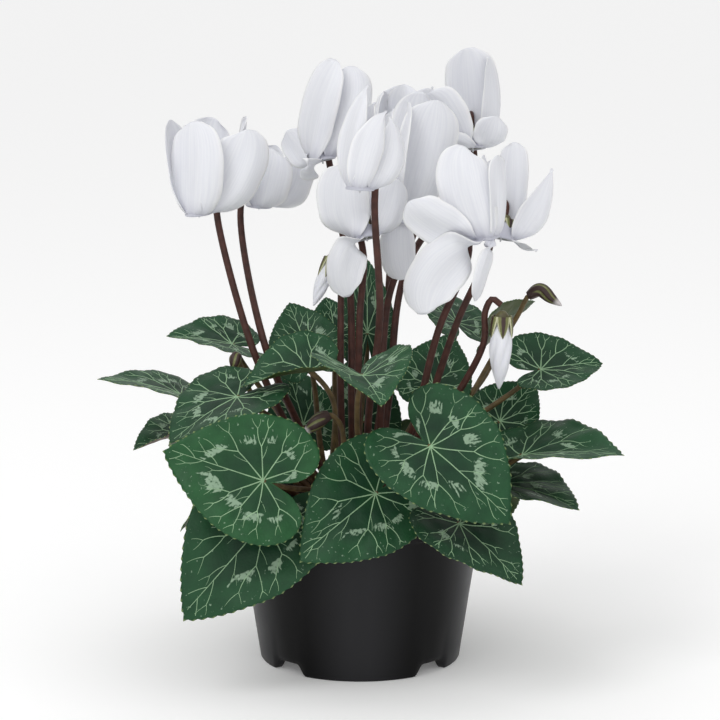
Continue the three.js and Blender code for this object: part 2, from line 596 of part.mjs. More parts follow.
// A pointed roll of petals along a line, thickest a third of the way down.
function rolledPetals(points, width) {
  const curve = throughPoints(points);
  const { rows, sides } = roll;
  const frames = curve.computeFrenetFrames(rows, false);
  const rings = [];
  for (let k = 0; k <= rows; k += 1) {
    const s = k / rows;
    const swell = Math.sin(Math.PI * Math.min(0.97, 0.22 + 0.75 * s));
    const radius = Math.max(roll.tip, width * swell ** 0.8);
    for (let j = 0; j < sides; j += 1) {
      const angle = (2 * Math.PI * j) / sides + roll.twist * s;
      rings.push(curve.getPointAt(s)
        .addScaledVector(frames.normals[k], radius * Math.cos(angle))
        .addScaledVector(frames.binormals[k], radius * Math.sin(angle)));
    }
  }
  const index = [];
  for (let k = 0; k < rows; k += 1) {
    for (let j = 0; j < sides; j += 1) {
      const a = k * sides + j;
      const b = k * sides + ((j + 1) % sides);
      index.push(a, b, b + sides, a, b + sides, a + sides);
    }
  }
  for (let j = 1; j < sides - 1; j += 1) {
    const top = rows * sides;
    index.push(0, j + 1, j, top, top + j, top + j + 1);
  }
  const geometry = new THREE.BufferGeometry();
  geometry.setAttribute('position', new THREE.Float32BufferAttribute(rings.flatMap((p) => p.toArray()), 3));
  geometry.setIndex(index);
  return solidOf(geometry);
}

function budStalkShape(bud, radius, extra) {
  const [x, y] = bud.root;
  const seat = crownHeight(Math.hypot(x, y)) - flowerStalk.depth - extra;
  const straight = throughPoints([[x, y, seat], ...bud.way, bud.hook[0]]);
  const bent = throughPoints([bud.way.at(-1), ...bud.hook]);
  return rod(straight, radius, flowerStalk.sides, flowerStalk.steps)
    .add(rod(bent, radius, flowerStalk.sides, flowerStalk.hookSteps));
}

function makeBudStalk(bud) {
  const start = vec(bud.body[0]);
  const down = vec(bud.body[1]).sub(start).normalize();
  const length = start.distanceTo(vec(bud.hook.at(-1))) + 1;
  const cap = new THREE.CylinderGeometry(0.75 * bud.width, flowerStalk.radius, length, calyxSides);
  cap.translate(0, -length / 2 - gap, 0);
  cap.applyQuaternion(new THREE.Quaternion().setFromUnitVectors(new THREE.Vector3(0, 1, 0), down));
  cap.translate(...start.toArray());
  return budStalkShape(bud, flowerStalk.radius, 0).add(solidOf(cap));
}

function smallBud(bud) {
  const [x, y] = bud.root;
  const seat = crownHeight(Math.hypot(x, y)) - leafStalk.sunk;
  const end = bud.way.at(-1);
  const stalk = rod(throughPoints([[x, y, seat], ...bud.way]), leafStalk.radius, leafStalk.sides, 8);
  const middle = vec(end).lerp(vec(bud.tip), 0.5).toArray();
  return stalk.add(rolledPetals([bud.way.at(-2), end, middle, bud.tip], bud.width));
}

function makeTuber() {
  let shape = turned(tuberProfile(0), tuber.sides);
  for (const leaf of leaves) shape = shape.add(makeLeafStalk(leaf));
  for (const bud of smallBuds) shape = shape.add(smallBud(bud));
  const above = tuber.centre + tuber.halfHeight + 3;
  const hole = (stalk) => stalk.trimByPlane([0, 0, -1], -above);
  for (const bloom of blooms) {
    shape = shape.subtract(hole(flowerStalkShape(bloom, flowerStalk.radius + gap, gap)));
  }
  for (const bud of buds) {
    shape = shape.subtract(hole(budStalkShape(bud, flowerStalk.radius + gap, gap)));
  }
  return largestPiece(shape);
}

leaves.forEach((leaf, k) => {
  for (const trait of ['fold', 'droop', 'wave', 'wide', 'arrive']) leaf[trait] ??= blade[trait];
  leaf.phase ??= 1.7 * k;
});
const two = (k) => String(k + 1).padStart(2, '0');

const cyclamen = new THREE.Group();
cyclamen.add(node('pot', makePot(), black));
cyclamen.add(node('soil', makeSoil(), peat));
cyclamen.add(node('tuber_with_leaf_stalks', makeTuber(), cork));
leaves.forEach((leaf, k) => cyclamen.add(node(`leaf_${two(k)}`, makeBlade(leaf), leafGreen)));
blooms.forEach((bloom, k) => {
  cyclamen.add(node(`bloom_${two(k)}_petals`, makeBloom(bloom), petalWhite));
  cyclamen.add(node(`bloom_${two(k)}_stalk`, makeFlowerStalk(bloom), redBrown));
});
buds.forEach((bud, k) => {
  cyclamen.add(node(`bud_${two(k)}_petals`, rolledPetals(bud.body, bud.width), petalWhite));
  cyclamen.add(node(`bud_${two(k)}_stalk`, makeBudStalk(bud), redBrown));
});

export default cyclamen;
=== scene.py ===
# A white cyclamen in a black nursery pot: fine leaves, petals and pot around the CAD frame.
import math

import bpy
import numpy as np
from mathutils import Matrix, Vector


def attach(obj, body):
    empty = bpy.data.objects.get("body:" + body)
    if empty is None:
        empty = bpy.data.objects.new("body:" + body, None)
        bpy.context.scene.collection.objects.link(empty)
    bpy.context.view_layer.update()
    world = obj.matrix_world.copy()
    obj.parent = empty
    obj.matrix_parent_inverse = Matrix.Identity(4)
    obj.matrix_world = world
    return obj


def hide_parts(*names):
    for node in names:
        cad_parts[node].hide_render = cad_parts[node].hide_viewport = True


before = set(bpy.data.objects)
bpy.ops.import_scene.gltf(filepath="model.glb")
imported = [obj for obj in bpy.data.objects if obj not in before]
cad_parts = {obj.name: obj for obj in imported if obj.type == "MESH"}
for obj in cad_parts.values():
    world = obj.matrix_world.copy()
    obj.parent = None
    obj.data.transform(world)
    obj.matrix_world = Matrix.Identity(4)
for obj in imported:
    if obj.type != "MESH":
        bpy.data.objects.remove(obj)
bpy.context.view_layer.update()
mm = 0.001


def addObject(name, data):
    item = bpy.data.objects.new(name, data)
    bpy.context.scene.collection.objects.link(item)
    return item


# Camera

cameraSettings = {"place": (0, -1.150, 0.345), "target": (0, 0, 0.1425), "lens": 124.2}


def makeCamera(settings):
    data = bpy.data.cameras.new("camera")
    data.lens = settings["lens"]
    data.sensor_width = 36
    data.clip_end = 60
    camera = addObject("camera", data)
    camera.location = settings["place"]
    look = Vector(settings["target"]) - Vector(settings["place"])
    camera.rotation_euler = look.to_track_quat("-Z", "Y").to_euler()
    bpy.context.scene.camera = camera


makeCamera(cameraSettings)

# Materials


def newMaterial(name):
    material = bpy.data.materials.new(name)
    material.use_nodes = True
    tree = material.node_tree
    return material, tree, tree.nodes["Principled BSDF"]


def attributeValue(tree, name):
    node = tree.nodes.new("ShaderNodeAttribute")
    node.attribute_name = name
    return node.outputs["Fac"]


def uvPlace(tree, name):
    node = tree.nodes.new("ShaderNodeUVMap")
    node.uv_map = name
    return node.outputs["UV"]


def noiseValue(tree, scale, detail=3.0, vector=None):
    noise = tree.nodes.new("ShaderNodeTexNoise")
    noise.inputs["Scale"].default_value = scale
    noise.inputs["Detail"].default_value = detail
    if vector is None:
        vector = tree.nodes.new("ShaderNodeTexCoord").outputs["Object"]
    tree.links.new(vector, noise.inputs["Vector"])
    return noise.outputs["Fac"]


def rampColor(tree, value, stops):
    ramp = tree.nodes.new("ShaderNodeValToRGB")
    elements = ramp.color_ramp.elements
    while len(elements) < len(stops):
        elements.new(0.5)
    for element, (place, color) in zip(elements, stops):
        element.position = place
        element.color = (*color, 1)
    tree.links.new(value, ramp.inputs["Fac"])
    return ramp.outputs["Color"]


def mixNode(tree, factor, first, second, blend="MIX"):
    node = tree.nodes.new("ShaderNodeMix")
    node.data_type = "RGBA"
    node.blend_type = blend
    for label, value in (("Factor", factor), ("A", first), ("B", second)):
        socket = node.inputs[label]
        if isinstance(value, (int, float)):
            socket.default_value = value
        elif isinstance(value, tuple):
            socket.default_value = (*value, 1)
        else:
            tree.links.new(value, socket)
    return node.outputs["Result"]


def mathNode(tree, operation, first, second=0.0, third=None):
    node = tree.nodes.new("ShaderNodeMath")
    node.operation = operation
    values = [first, second] if third is None else [first, second, third]
    for socket, value in zip(node.inputs, values):
        if isinstance(value, (int, float)):
            socket.default_value = value
        else:
            tree.links.new(value, socket)
    return node.outputs[0]


def smoothStep(tree, value, low, high):
    node = tree.nodes.new("ShaderNodeMapRange")
    node.interpolation_type = "SMOOTHSTEP"
    node.inputs["From Min"].default_value = low
    node.inputs["From Max"].default_value = high
    tree.links.new(value, node.inputs["Value"])
    return node.outputs["Result"]


def bumpInto(tree, shader, height, strength, distance):
    bump = tree.nodes.new("ShaderNodeBump")
    bump.inputs["Strength"].default_value = strength
    bump.inputs["Distance"].default_value = distance
    tree.links.new(height, bump.inputs["Height"])
    tree.links.new(bump.outputs["Normal"], shader.inputs["Normal"])


leafLook = {
    "dark": (0.006, 0.032, 0.014), "mid": (0.010, 0.058, 0.022), "fresh": (0.020, 0.105, 0.028),
    "silver": (0.30, 0.43, 0.30), "edge": (0.34, 0.42, 0.17),
    "roughness": 0.5, "shine": 0.28, "pebbleScale": 52.0, "bump": 0.22,
    "cloudScale": 6.0, "toothScale": 30.0, "fleckScale": 26.0,
    "combAround": 24.0, "combOutward": 5.0, "combing": 1.6, "fraying": 0.7,
    "markStart": 0.89, "markFull": 1.05, "fleckStrength": 0.7, "silverCover": 0.8, "edgeCover": 0.8,
}


def makeLeafMaterial(look):
    material, tree, shader = newMaterial("leafTop")
    uv = uvPlace(tree, "blade")
    # Each leaf's tone sets its green; for leaf 4 the low tone is painted shade.
    toneAndShade = attributeValue(tree, "toneAndShade")
    ground = rampColor(tree, toneAndShade, [(0.0, look["dark"]), (0.5, look["mid"]), (1.0, look["fresh"])])
    cloud = noiseValue(tree, look["cloudScale"], 4.0, vector=uv)
    shade = rampColor(tree, cloud, [(0.3, (0.74, 0.80, 0.78)), (0.7, (1.2, 1.16, 1.1))])
    green = mixNode(tree, 1.0, ground, shade, "MULTIPLY")
    # From the joint outwards: reddish, then dark, then a lighter border.
    reach = attributeValue(tree, "reach")
    zone = rampColor(tree, reach, [(0.0, (2.6, 1.1, 0.7)), (0.07, (0.9, 0.95, 0.8)), (0.3, (0.6, 0.67, 0.74)),
                                   (0.58, (0.85, 0.88, 0.86)), (0.78, (1.25, 1.2, 1.15))])
    green = mixNode(tree, 1.0, green, zone, "MULTIPLY")
    # The silver marks are combed outwards, with torn borders.
    teeth = noiseValue(tree, look["toothScale"], 5.0, vector=uv)
    rays = tree.nodes.new("ShaderNodeCombineXYZ")
    turn = attributeValue(tree, "turn")
    tree.links.new(mathNode(tree, "MULTIPLY", turn, look["combAround"]), rays.inputs["X"])
    tree.links.new(mathNode(tree, "MULTIPLY", reach, look["combOutward"]), rays.inputs["Y"])
    comb = noiseValue(tree, 1.0, 2.0, vector=rays.outputs["Vector"])
    comb = mathNode(tree, "MULTIPLY", mathNode(tree, "SUBTRACT", comb, 0.5),
                    attributeValue(tree, "outer"))
    marks = attributeValue(tree, "silver")
    ragged = mathNode(tree, "MULTIPLY_ADD", teeth, look["fraying"], marks)
    ragged = mathNode(tree, "MULTIPLY_ADD", comb, look["combing"], ragged)
    silver = smoothStep(tree, ragged, look["markStart"], look["markFull"])
    silver = mathNode(tree, "MULTIPLY", silver, smoothStep(tree, teeth, 0.28, 0.5))
    flecks = noiseValue(tree, look["fleckScale"], 3.0, vector=uv)
    flecks = mathNode(tree, "MULTIPLY", smoothStep(tree, flecks, 0.65, 0.7),
                      smoothStep(tree, reach, 0.7, 0.82))
    silver = mathNode(tree, "MAXIMUM", silver, mathNode(tree, "MULTIPLY", flecks, look["fleckStrength"]))
    green = mixNode(tree, mathNode(tree, "MULTIPLY", silver, look["silverCover"]), green, look["silver"])
    rim = smoothStep(tree, attributeValue(tree, "edge"), 0.5, 1.0)
    green = mixNode(tree, mathNode(tree, "MULTIPLY", rim, look["edgeCover"]), green, look["edge"])
    tree.links.new(green, shader.inputs["Base Color"])
    shader.inputs["Roughness"].default_value = look["roughness"]
    shader.inputs["Specular IOR Level"].default_value = look["shine"]
    pebbles = tree.nodes.new("ShaderNodeTexVoronoi")
    pebbles.feature = "SMOOTH_F1"
    pebbles.inputs["Scale"].default_value = look["pebbleScale"]
    tree.links.new(uv, pebbles.inputs["Vector"])
    bumpInto(tree, shader, pebbles.outputs["Distance"], look["bump"], 0.0004)
    return material


undersideLook = {
    "green": (0.028, 0.066, 0.016), "olive": (0.070, 0.088, 0.024), "brown": (0.085, 0.045, 0.014),
    "cloudScale": 60.0, "grainScale": 900.0, "roughness": 0.5, "shine": 0.3,
}


def makeUndersideMaterial(look):
    material, tree, shader = newMaterial("leafUnderside")
    cloud = noiseValue(tree, look["cloudScale"], 3.0)
    ramp = rampColor(tree, cloud, [(0.35, look["green"]), (0.7, look["olive"])])
    color = mixNode(tree, attributeValue(tree, "age"), ramp, look["brown"])
    tree.links.new(color, shader.inputs["Base Color"])
    shader.inputs["Roughness"].default_value = look["roughness"]
    shader.inputs["Specular IOR Level"].default_value = look["shine"]
    bumpInto(tree, shader, noiseValue(tree, look["grainScale"], 2.0), 0.25, 0.0003)
    return material


sepalLook = {
    "brown": (0.040, 0.018, 0.015), "green": (0.16, 0.17, 0.055), "cream": (0.55, 0.55, 0.36),
    "tip": (0.62, 0.58, 0.58), "mottleScale": 320.0, "roughness": 0.5,
}


def makeSepalMaterial(look):
    material, tree, shader = newMaterial("sepal")
    mottle = noiseValue(tree, look["mottleScale"], 4.0)
    across = attributeValue(tree, "across")
    place = mathNode(tree, "MULTIPLY_ADD", mottle, 0.3, mathNode(tree, "SUBTRACT", across, 0.15))
    stripes = rampColor(tree, place, [(0.25, look["brown"]), (0.45, look["green"]), (0.72, look["green"]),
                                      (0.9, look["cream"])])
    ending = smoothStep(tree, attributeValue(tree, "along"), 0.82, 0.92)
    tree.links.new(mixNode(tree, ending, stripes, look["tip"]), shader.inputs["Base Color"])
    shader.inputs["Roughness"].default_value = look["roughness"]
    bumpInto(tree, shader, mottle, 0.3, 0.0004)
    return material


# One colour that clouds to a darker and a lighter one by a share of itself.
plainLooks = {
    "vein": {"color": (0.26, 0.42, 0.24), "change": 0.2, "scale": 200.0, "roughness": 0.5, "bump": 0.1},
    "tuber": {"color": (0.10, 0.05, 0.03), "change": 0.5, "scale": 160.0, "roughness": 0.75, "bump": 0.7},
}


def makePlainMaterial(name, look):
    material, tree, shader = newMaterial(name)
    noise = noiseValue(tree, look["scale"], 4.0)
    darker = tuple(c * (1 - look["change"]) for c in look["color"])
    lighter = tuple(min(1.0, c * (1 + look["change"])) for c in look["color"])
    ramp = rampColor(tree, noise, [(0.3, darker), (0.7, lighter)])
    tree.links.new(ramp, shader.inputs["Base Color"])
    shader.inputs["Roughness"].default_value = look["roughness"]
    bumpInto(tree, shader, noise, look["bump"], 0.0004)
    return material


# Each stalk turns from its low colour to its high one between two heights, in metres.
stalkLooks = {
    "flowerStalk": {"low": (0.070, 0.022, 0.013), "high": (0.060, 0.022, 0.016), "turns": (0.09, 0.2)},
    "leafStalk": {"low": (0.10, 0.035, 0.018), "high": (0.12, 0.085, 0.035), "turns": (0.085, 0.13)},
}


def makeStalkMaterial(name, look):
    material, tree, shader = newMaterial(name)
    coords = tree.nodes.new("ShaderNodeTexCoord")
    apart = tree.nodes.new("ShaderNodeSeparateXYZ")
    tree.links.new(coords.outputs["Object"], apart.inputs["Vector"])
    mottle = noiseValue(tree, 260.0, 4.0)
    rise = mathNode(tree, "MULTIPLY_ADD", mottle, 0.05, apart.outputs["Z"])
    blend = smoothStep(tree, rise, *look["turns"])
    color = mixNode(tree, blend, look["low"], look["high"])
    spots = rampColor(tree, mottle, [(0.35, (0.7, 0.7, 0.7)), (0.65, (1.25, 1.2, 1.2))])
    color = mixNode(tree, 1.0, color, spots, "MULTIPLY")
    tree.links.new(color, shader.inputs["Base Color"])
    shader.inputs["Roughness"].default_value = 0.5
    shader.inputs["Specular IOR Level"].default_value = 0.3
    bumpInto(tree, shader, mottle, 0.3, 0.0003)
    return material


# In the petal look, base is partly a grey-lavender tint and partly painted shade near the petal bases, rim is
# a painted highlight, and the throat colour is partly olive and partly painted shade inside the tube.
petalLook = {
    "color": (0.80, 0.81, 0.85), "base": (0.50, 0.505, 0.58), "rim": (0.92, 0.92, 0.93),
    "throatTintAndShade": (0.12, 0.12, 0.07), "roughness": 0.5, "glow": 0.12, "glowReach": (0.004, 0.004, 0.005),
    "sheen": 0.15, "fibres": (26.0, 1.6, 1.0), "baseTintAndShadeEnds": 0.38,
}


def makePetalMaterial(look):
    material, tree, shader = newMaterial("petal")
    uv = uvPlace(tree, "petal")
    stretch = tree.nodes.new("ShaderNodeMapping")
    stretch.inputs["Scale"].default_value = look["fibres"]
    tree.links.new(uv, stretch.inputs["Vector"])
    fibres = noiseValue(tree, 1.0, 5.0, vector=stretch.outputs["Vector"])
    along = attributeValue(tree, "along")
    # Towards its base each petal darkens: partly a grey-lavender tint, partly painted shade where the petals
    # crowd at the mouth.
    base = mixNode(tree, smoothStep(tree, along, 0.0, look["baseTintAndShadeEnds"]), look["base"], look["color"])
    veins = rampColor(tree, fibres, [(0.35, (0.93, 0.93, 0.95)), (0.65, (1.0, 1.0, 1.0))])
    color = mixNode(tree, 1.0, base, veins, "MULTIPLY")
    # Painted highlight: the petals' side edges are lighter, in place of the light along their rims.
    color = mixNode(tree, attributeValue(tree, "rim"), color, look["rim"])
    # Inside the tube the colour goes dark olive: partly its own colour, partly painted shade of the recess.
    color = mixNode(tree, attributeValue(tree, "throatTintAndShade"), color, look["throatTintAndShade"])
    tree.links.new(color, shader.inputs["Base Color"])
    shader.inputs["Roughness"].default_value = look["roughness"]
    shader.inputs["Subsurface Weight"].default_value = look["glow"]
    shader.inputs["Subsurface Radius"].default_value = look["glowReach"]
    shader.inputs["Subsurface Scale"].default_value = 1.0
    shader.inputs["Sheen Weight"].default_value = look["sheen"]
    bumpInto(tree, shader, fibres, 0.3, 0.0005)
    return material


# dark and light are the two ends of the painted reflection bands round the pot.
potLook = {
    "dark": (0.003, 0.003, 0.0033), "light": (0.022, 0.022, 0.024), "shine": 0.13,
    "polished": 0.33, "worn": 0.41, "wearScale": 45.0, "grainScale": 1400.0,
}


def makePotMaterial(look):
    material, tree, shader = newMaterial("blackPlastic")
    # Painted reflection: the base colour runs between dark and light in soft vertical bands round the pot, in
    # place of reflected light.
    paintedReflectionBand = attributeValue(tree, "paintedReflectionBand")
    color = rampColor(tree, paintedReflectionBand, [(0.1, look["dark"]), (0.95, look["light"])])
    tree.links.new(color, shader.inputs["Base Color"])
    wear = noiseValue(tree, look["wearScale"], 4.0)
    rough = rampColor(tree, wear, [(0.3, (look["polished"],) * 3), (0.7, (look["worn"],) * 3)])
    tree.links.new(rough, shader.inputs["Roughness"])
    shader.inputs["Specular IOR Level"].default_value = look["shine"]
    bumpInto(tree, shader, noiseValue(tree, look["grainScale"], 2.0), 0.08, 0.0002)
    return material


soilLook = {
    "dark": (0.008, 0.005, 0.003), "mid": (0.03, 0.018, 0.01), "light": (0.08, 0.05, 0.03),
    "grainScale": 420.0, "roughness": 0.95,
}


def makeSoilMaterial(look):
    material, tree, shader = newMaterial("pottingMix")
    noise = noiseValue(tree, look["grainScale"], 6.0)
    stops = [(0.3, look["dark"]), (0.55, look["mid"]), (0.75, look["light"])]
    ramp = rampColor(tree, noise, stops)
    tree.links.new(ramp, shader.inputs["Base Color"])
    shader.inputs["Roughness"].default_value = look["roughness"]
    bumpInto(tree, shader, noise, 0.8, 0.0015)
    return material


materials = {
    "leafTop": makeLeafMaterial(leafLook),
    "leafUnderside": makeUndersideMaterial(undersideLook),
    "vein": makePlainMaterial("vein", plainLooks["vein"]),
    "petal": makePetalMaterial(petalLook),
    "flowerStalk": makeStalkMaterial("flowerStalk", stalkLooks["flowerStalk"]),
    "leafStalk": makeStalkMaterial("leafStalk", stalkLooks["leafStalk"]),
    "tuber": makePlainMaterial("tuber", plainLooks["tuber"]),
    "sepal": makeSepalMaterial(sepalLook),
    "pot": makePotMaterial(potLook),
    "soil": makeSoilMaterial(soilLook),
}
print("materials made", flush=True)

# Meshes


def meshObject(name, points, faces, looks, faceLooks=None, smooth=True):
    mesh = bpy.data.meshes.new(name)
    mesh.from_pydata([tuple(p) for p in points], [], faces)
    for look in looks:
        mesh.materials.append(materials[look])
    if faceLooks is not None:
        mesh.polygons.foreach_set("material_index", faceLooks)
    mesh.polygons.foreach_set("use_smooth", [smooth] * len(faces))
    mesh.update()
    return addObject(name, mesh)


def pointValues(piece, name, values):
    layer = piece.data.attributes.new(name, "FLOAT", "POINT")
    layer.data.foreach_set("value", np.asarray(values, dtype=np.float32))


def cornerUv(piece, name, pairs):
    layer = piece.data.uv_layers.new(name=name)
    corners = np.empty(len(piece.data.loops), dtype=np.int32)
    piece.data.loops.foreach_get("vertex_index", corners)
    layer.data.foreach_set("uv", np.asarray(pairs, dtype=np.float32)[corners].ravel())


def keepPiece(piece, slotName, *nodes):
    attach(piece, "root")
    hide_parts(*nodes)


def unit(v):
    v = np.asarray(v, dtype=float)
    return v / np.linalg.norm(v)


def smooth(x):
    x = np.clip(x, 0, 1)
    return x * x * (3 - 2 * x)


def throughPoints(points, count):
    p = [np.asarray(q, dtype=float) for q in points]
    p = [2 * p[0] - p[1]] + p + [2 * p[-1] - p[-2]]
    dense = []
    for k in range(1, len(p) - 2):
        a, b, c, d = p[k - 1:k + 3]
        ab, bc, cd = (max(math.sqrt(np.linalg.norm(v - u)), 1e-4) for u, v in ((a, b), (b, c), (c, d)))
        first = ((b - a) / ab - (c - a) / (ab + bc) + (c - b) / bc) * bc
        last = ((c - b) / bc - (d - b) / (bc + cd) + (d - c) / cd) * bc
        t = np.linspace(0, 1, 40)[:, None]
        dense.append(b + first * t + (3 * (c - b) - 2 * first - last) * t ** 2
                     + (2 * (b - c) + first + last) * t ** 3)
    return evenly(np.vstack(dense), count)


def evenly(path, count):
    steps = np.linalg.norm(np.diff(path, axis=0), axis=1)
    length = np.concatenate([[0], np.cumsum(steps)])
    places = np.linspace(0, length[-1], count)
    return np.stack([np.interp(places, length, path[:, k]) for k in range(3)], axis=1)


# Rings of points joined into a skin, with a cap on the first ring and on the last.
def ringFaces(rings, sides):
    faces = []
    for ring in range(rings - 1):
        a, b = ring * sides, (ring + 1) * sides
        for k in range(sides):
            n = (k + 1) % sides
            faces.append((a + k, a + n, b + n, b + k))
    faces.append(tuple(reversed(range(sides))))
    faces.append(tuple(range((rings - 1) * sides, rings * sides)))
    return faces


def curveThrough(name, paths):
    data = bpy.data.curves.new(name, "CURVE")
    data.dimensions = "3D"
    for points, radii in paths:
        spline = data.splines.new("POLY")
        spline.points.add(len(points) - 1)
        spline.points.foreach_set("co", np.hstack([points * mm, np.ones((len(points), 1))]).ravel())
        spline.points.foreach_set("radius", np.asarray(radii, dtype=float) * mm)
    return addObject(name, data)


# Geometry node trees


def newTree(name, sockets):
    tree = bpy.data.node_groups.new(name, "GeometryNodeTree")
    tree.interface.new_socket("Geometry", in_out="INPUT", socket_type="NodeSocketGeometry")
    tree.interface.new_socket("Geometry", in_out="OUTPUT", socket_type="NodeSocketGeometry")
    for label, kind, value in sockets:
        socket = tree.interface.new_socket(label, in_out="INPUT", socket_type=kind)
        if value is not None:
            socket.default_value = value
    return tree, tree.nodes.new("NodeGroupInput"), tree.nodes.new("NodeGroupOutput")


def tubeTree():
    tree, start, end = newTree("tubesAlongCurves", [
        ("Sides", "NodeSocketInt", 8), ("Look", "NodeSocketMaterial", None)])
    make = tree.nodes.new
    link = tree.links.new
    circle = make("GeometryNodeCurvePrimitiveCircle")
    circle.inputs["Radius"].default_value = 1.0
    link(start.outputs["Sides"], circle.inputs["Resolution"])
    radius = make("GeometryNodeInputRadius")
    tube = make("GeometryNodeCurveToMesh")
    tube.inputs["Fill Caps"].default_value = True
    link(start.outputs["Geometry"], tube.inputs["Curve"])
    link(circle.outputs["Curve"], tube.inputs["Profile Curve"])
    if "Scale" in tube.inputs:
        link(radius.outputs[0], tube.inputs["Scale"])
    realize = make("GeometryNodeRealizeInstances")
    paint = make("GeometryNodeSetMaterial")
    shade = make("GeometryNodeSetShadeSmooth")
    link(tube.outputs["Mesh"], shade.inputs["Geometry"])
    link(shade.outputs["Geometry"], realize.inputs["Geometry"])
    link(realize.outputs["Geometry"], paint.inputs["Geometry"])
    link(start.outputs["Look"], paint.inputs["Material"])
    link(paint.outputs["Geometry"], end.inputs["Geometry"])
    return tree


def crumbTree():
    tree, start, end = newTree("crumbsOnSurface", [
        ("Density", "NodeSocketFloat", 1e5), ("Size", "NodeSocketFloat", 0.001),
        ("Seed", "NodeSocketInt", 1), ("Look", "NodeSocketMaterial", None)])
    make = tree.nodes.new
    link = tree.links.new
    scatter = make("GeometryNodeDistributePointsOnFaces")
    link(start.outputs["Geometry"], scatter.inputs["Mesh"])
    link(start.outputs["Density"], scatter.inputs["Density"])
    link(start.outputs["Seed"], scatter.inputs["Seed"])
    lump = make("GeometryNodeMeshIcoSphere")
    lump.inputs["Subdivisions"].default_value = 1
    link(start.outputs["Size"], lump.inputs["Radius"])
    size = make("FunctionNodeRandomValue")
    size.data_type = "FLOAT_VECTOR"
    size.inputs["Min"].default_value = (0.4, 0.4, 0.25)
    size.inputs["Max"].default_value = (1.5, 1.2, 0.8)
    turn = make("FunctionNodeRandomValue")
    turn.data_type = "FLOAT_VECTOR"
    turn.inputs["Max"].default_value = (6.28, 6.28, 6.28)
    place = make("GeometryNodeInstanceOnPoints")
    link(scatter.outputs["Points"], place.inputs["Points"])
    link(lump.outputs["Mesh"], place.inputs["Instance"])
    link(turn.outputs["Value"], place.inputs["Rotation"])
    link(size.outputs["Value"], place.inputs["Scale"])
    realize = make("GeometryNodeRealizeInstances")
    paint = make("GeometryNodeSetMaterial")
    link(place.outputs["Instances"], realize.inputs["Geometry"])
    link(realize.outputs["Geometry"], paint.inputs["Geometry"])
    link(start.outputs["Look"], paint.inputs["Material"])
    link(paint.outputs["Geometry"], end.inputs["Geometry"])
    return tree


def runTree(source, tree, values, name):
    modifier = source.modifiers.new("nodes", "NODES")
    modifier.node_group = tree
    for item in tree.interface.items_tree:
        if item.in_out == "INPUT" and item.name in values:
            modifier[item.identifier] = values[item.name]
    bpy.context.view_layer.update()
    evaluated = source.evaluated_get(bpy.context.evaluated_depsgraph_get())
    mesh = bpy.data.meshes.new_from_object(evaluated)
    mesh.name = name
    source.modifiers.remove(modifier)
    bpy.data.objects.remove(source)
    return addObject(name, mesh)


tubes = tubeTree()
crumbs = crumbTree()

# Pot

# Millimetres, and degrees round the pot for the arches.
potShape = {
    "height": 76, "baseRadius": 47.5, "rimRadius": 59, "wall": 1.5, "lipHeight": 9, "lipProud": 1.6,
    "floorHeight": 6, "floorThickness": 1.6, "footWidth": 4.5, "sides": 288,
    "archHalf": 10.75, "archTopHalf": 5.5, "archHeight": 5.4, "archAngles": (45, 135, 225, 315),
    "rounded": 0.7, "drainStart": 22, "paintedReflectionBandCount": 5,
    "drains": 6, "drainSides": 32, "drainRadius": 4, "drainDistance": 27,
}


# How far the foot ring is lifted at each angle.
def archHeights(shape, angles):
    heights = np.zeros(len(angles))
    for middle in shape["archAngles"]:
        away = np.abs((np.degrees(angles) - middle + 180) % 360 - 180)
        across = shape["baseRadius"] * np.radians(away)
        inside = smooth((shape["archHalf"] - across) / (shape["archHalf"] - shape["archTopHalf"]))
        heights = np.maximum(heights, shape["archHeight"] * inside)
    return heights


def makePot(shape):
    slope = (shape["rimRadius"] - shape["baseRadius"]) / shape["height"]
    outside = lambda z: shape["baseRadius"] + slope * z
    lip = shape["rimRadius"] + shape["lipProud"]
    below = shape["height"] - shape["lipHeight"]
    top = shape["height"]
    floor = shape["floorHeight"]
    floorTop = floor + shape["floorThickness"]
    inner = shape["rimRadius"] - shape["wall"]
    foot = shape["baseRadius"] - shape["footWidth"]
    angles = np.linspace(0, 2 * math.pi, shape["sides"], endpoint=False)
    arch = archHeights(shape, angles)
    rounded = shape["rounded"]
    # Radius, height, and 1 where the row follows the arches of the foot.
    profile = [
        (shape["drainStart"], floor, 0), (foot - 1, floor, 0),
        (foot, floor - 0.4, 0), (foot, rounded, 1), (foot + rounded, 0, 1),
        (shape["baseRadius"] - rounded, 0, 1), (shape["baseRadius"] - 0.15, 0.25, 1),
        (outside(rounded), rounded, 1), (outside(8), 8, 0), (outside(24), 24, 0), (outside(45), 45, 0),
        (outside(below - 1), below - 1, 0), (outside(below), below, 0), (lip - 0.5, below + 0.6, 0),
        (lip, below + 1.2, 0), (lip, top - 1, 0), (lip - 0.3, top - 0.3, 0), (lip - 1, top, 0),
        (inner + 0.6, top, 0), (inner, top - 0.6, 0), (outside(40) - shape["wall"], 40, 0),
        (outside(floorTop) - shape["wall"], floorTop, 0), (shape["drainStart"], floorTop, 0),
    ]
    count = len(angles)
    points = []
    for radius, height, follows in profile:
        z = height + follows * arch * 0.97
        points.append(np.stack([radius * np.cos(angles), radius * np.sin(angles), z], axis=1))
    points = np.vstack(points) * mm
    piece = meshObject("pot", points, ringFaces(len(profile), count), ["pot"])
    # Painted reflection: five soft vertical bands of lighter and darker black stand in for the reflections of
    # the studio lights, and the front is the middle of a lighter one.
    paintedReflectionBand = 0.5 + 0.5 * np.cos(shape["paintedReflectionBandCount"] * (angles + math.pi / 2))
    pointValues(piece, "paintedReflectionBand", np.tile(paintedReflectionBand, len(profile)))
    return piece


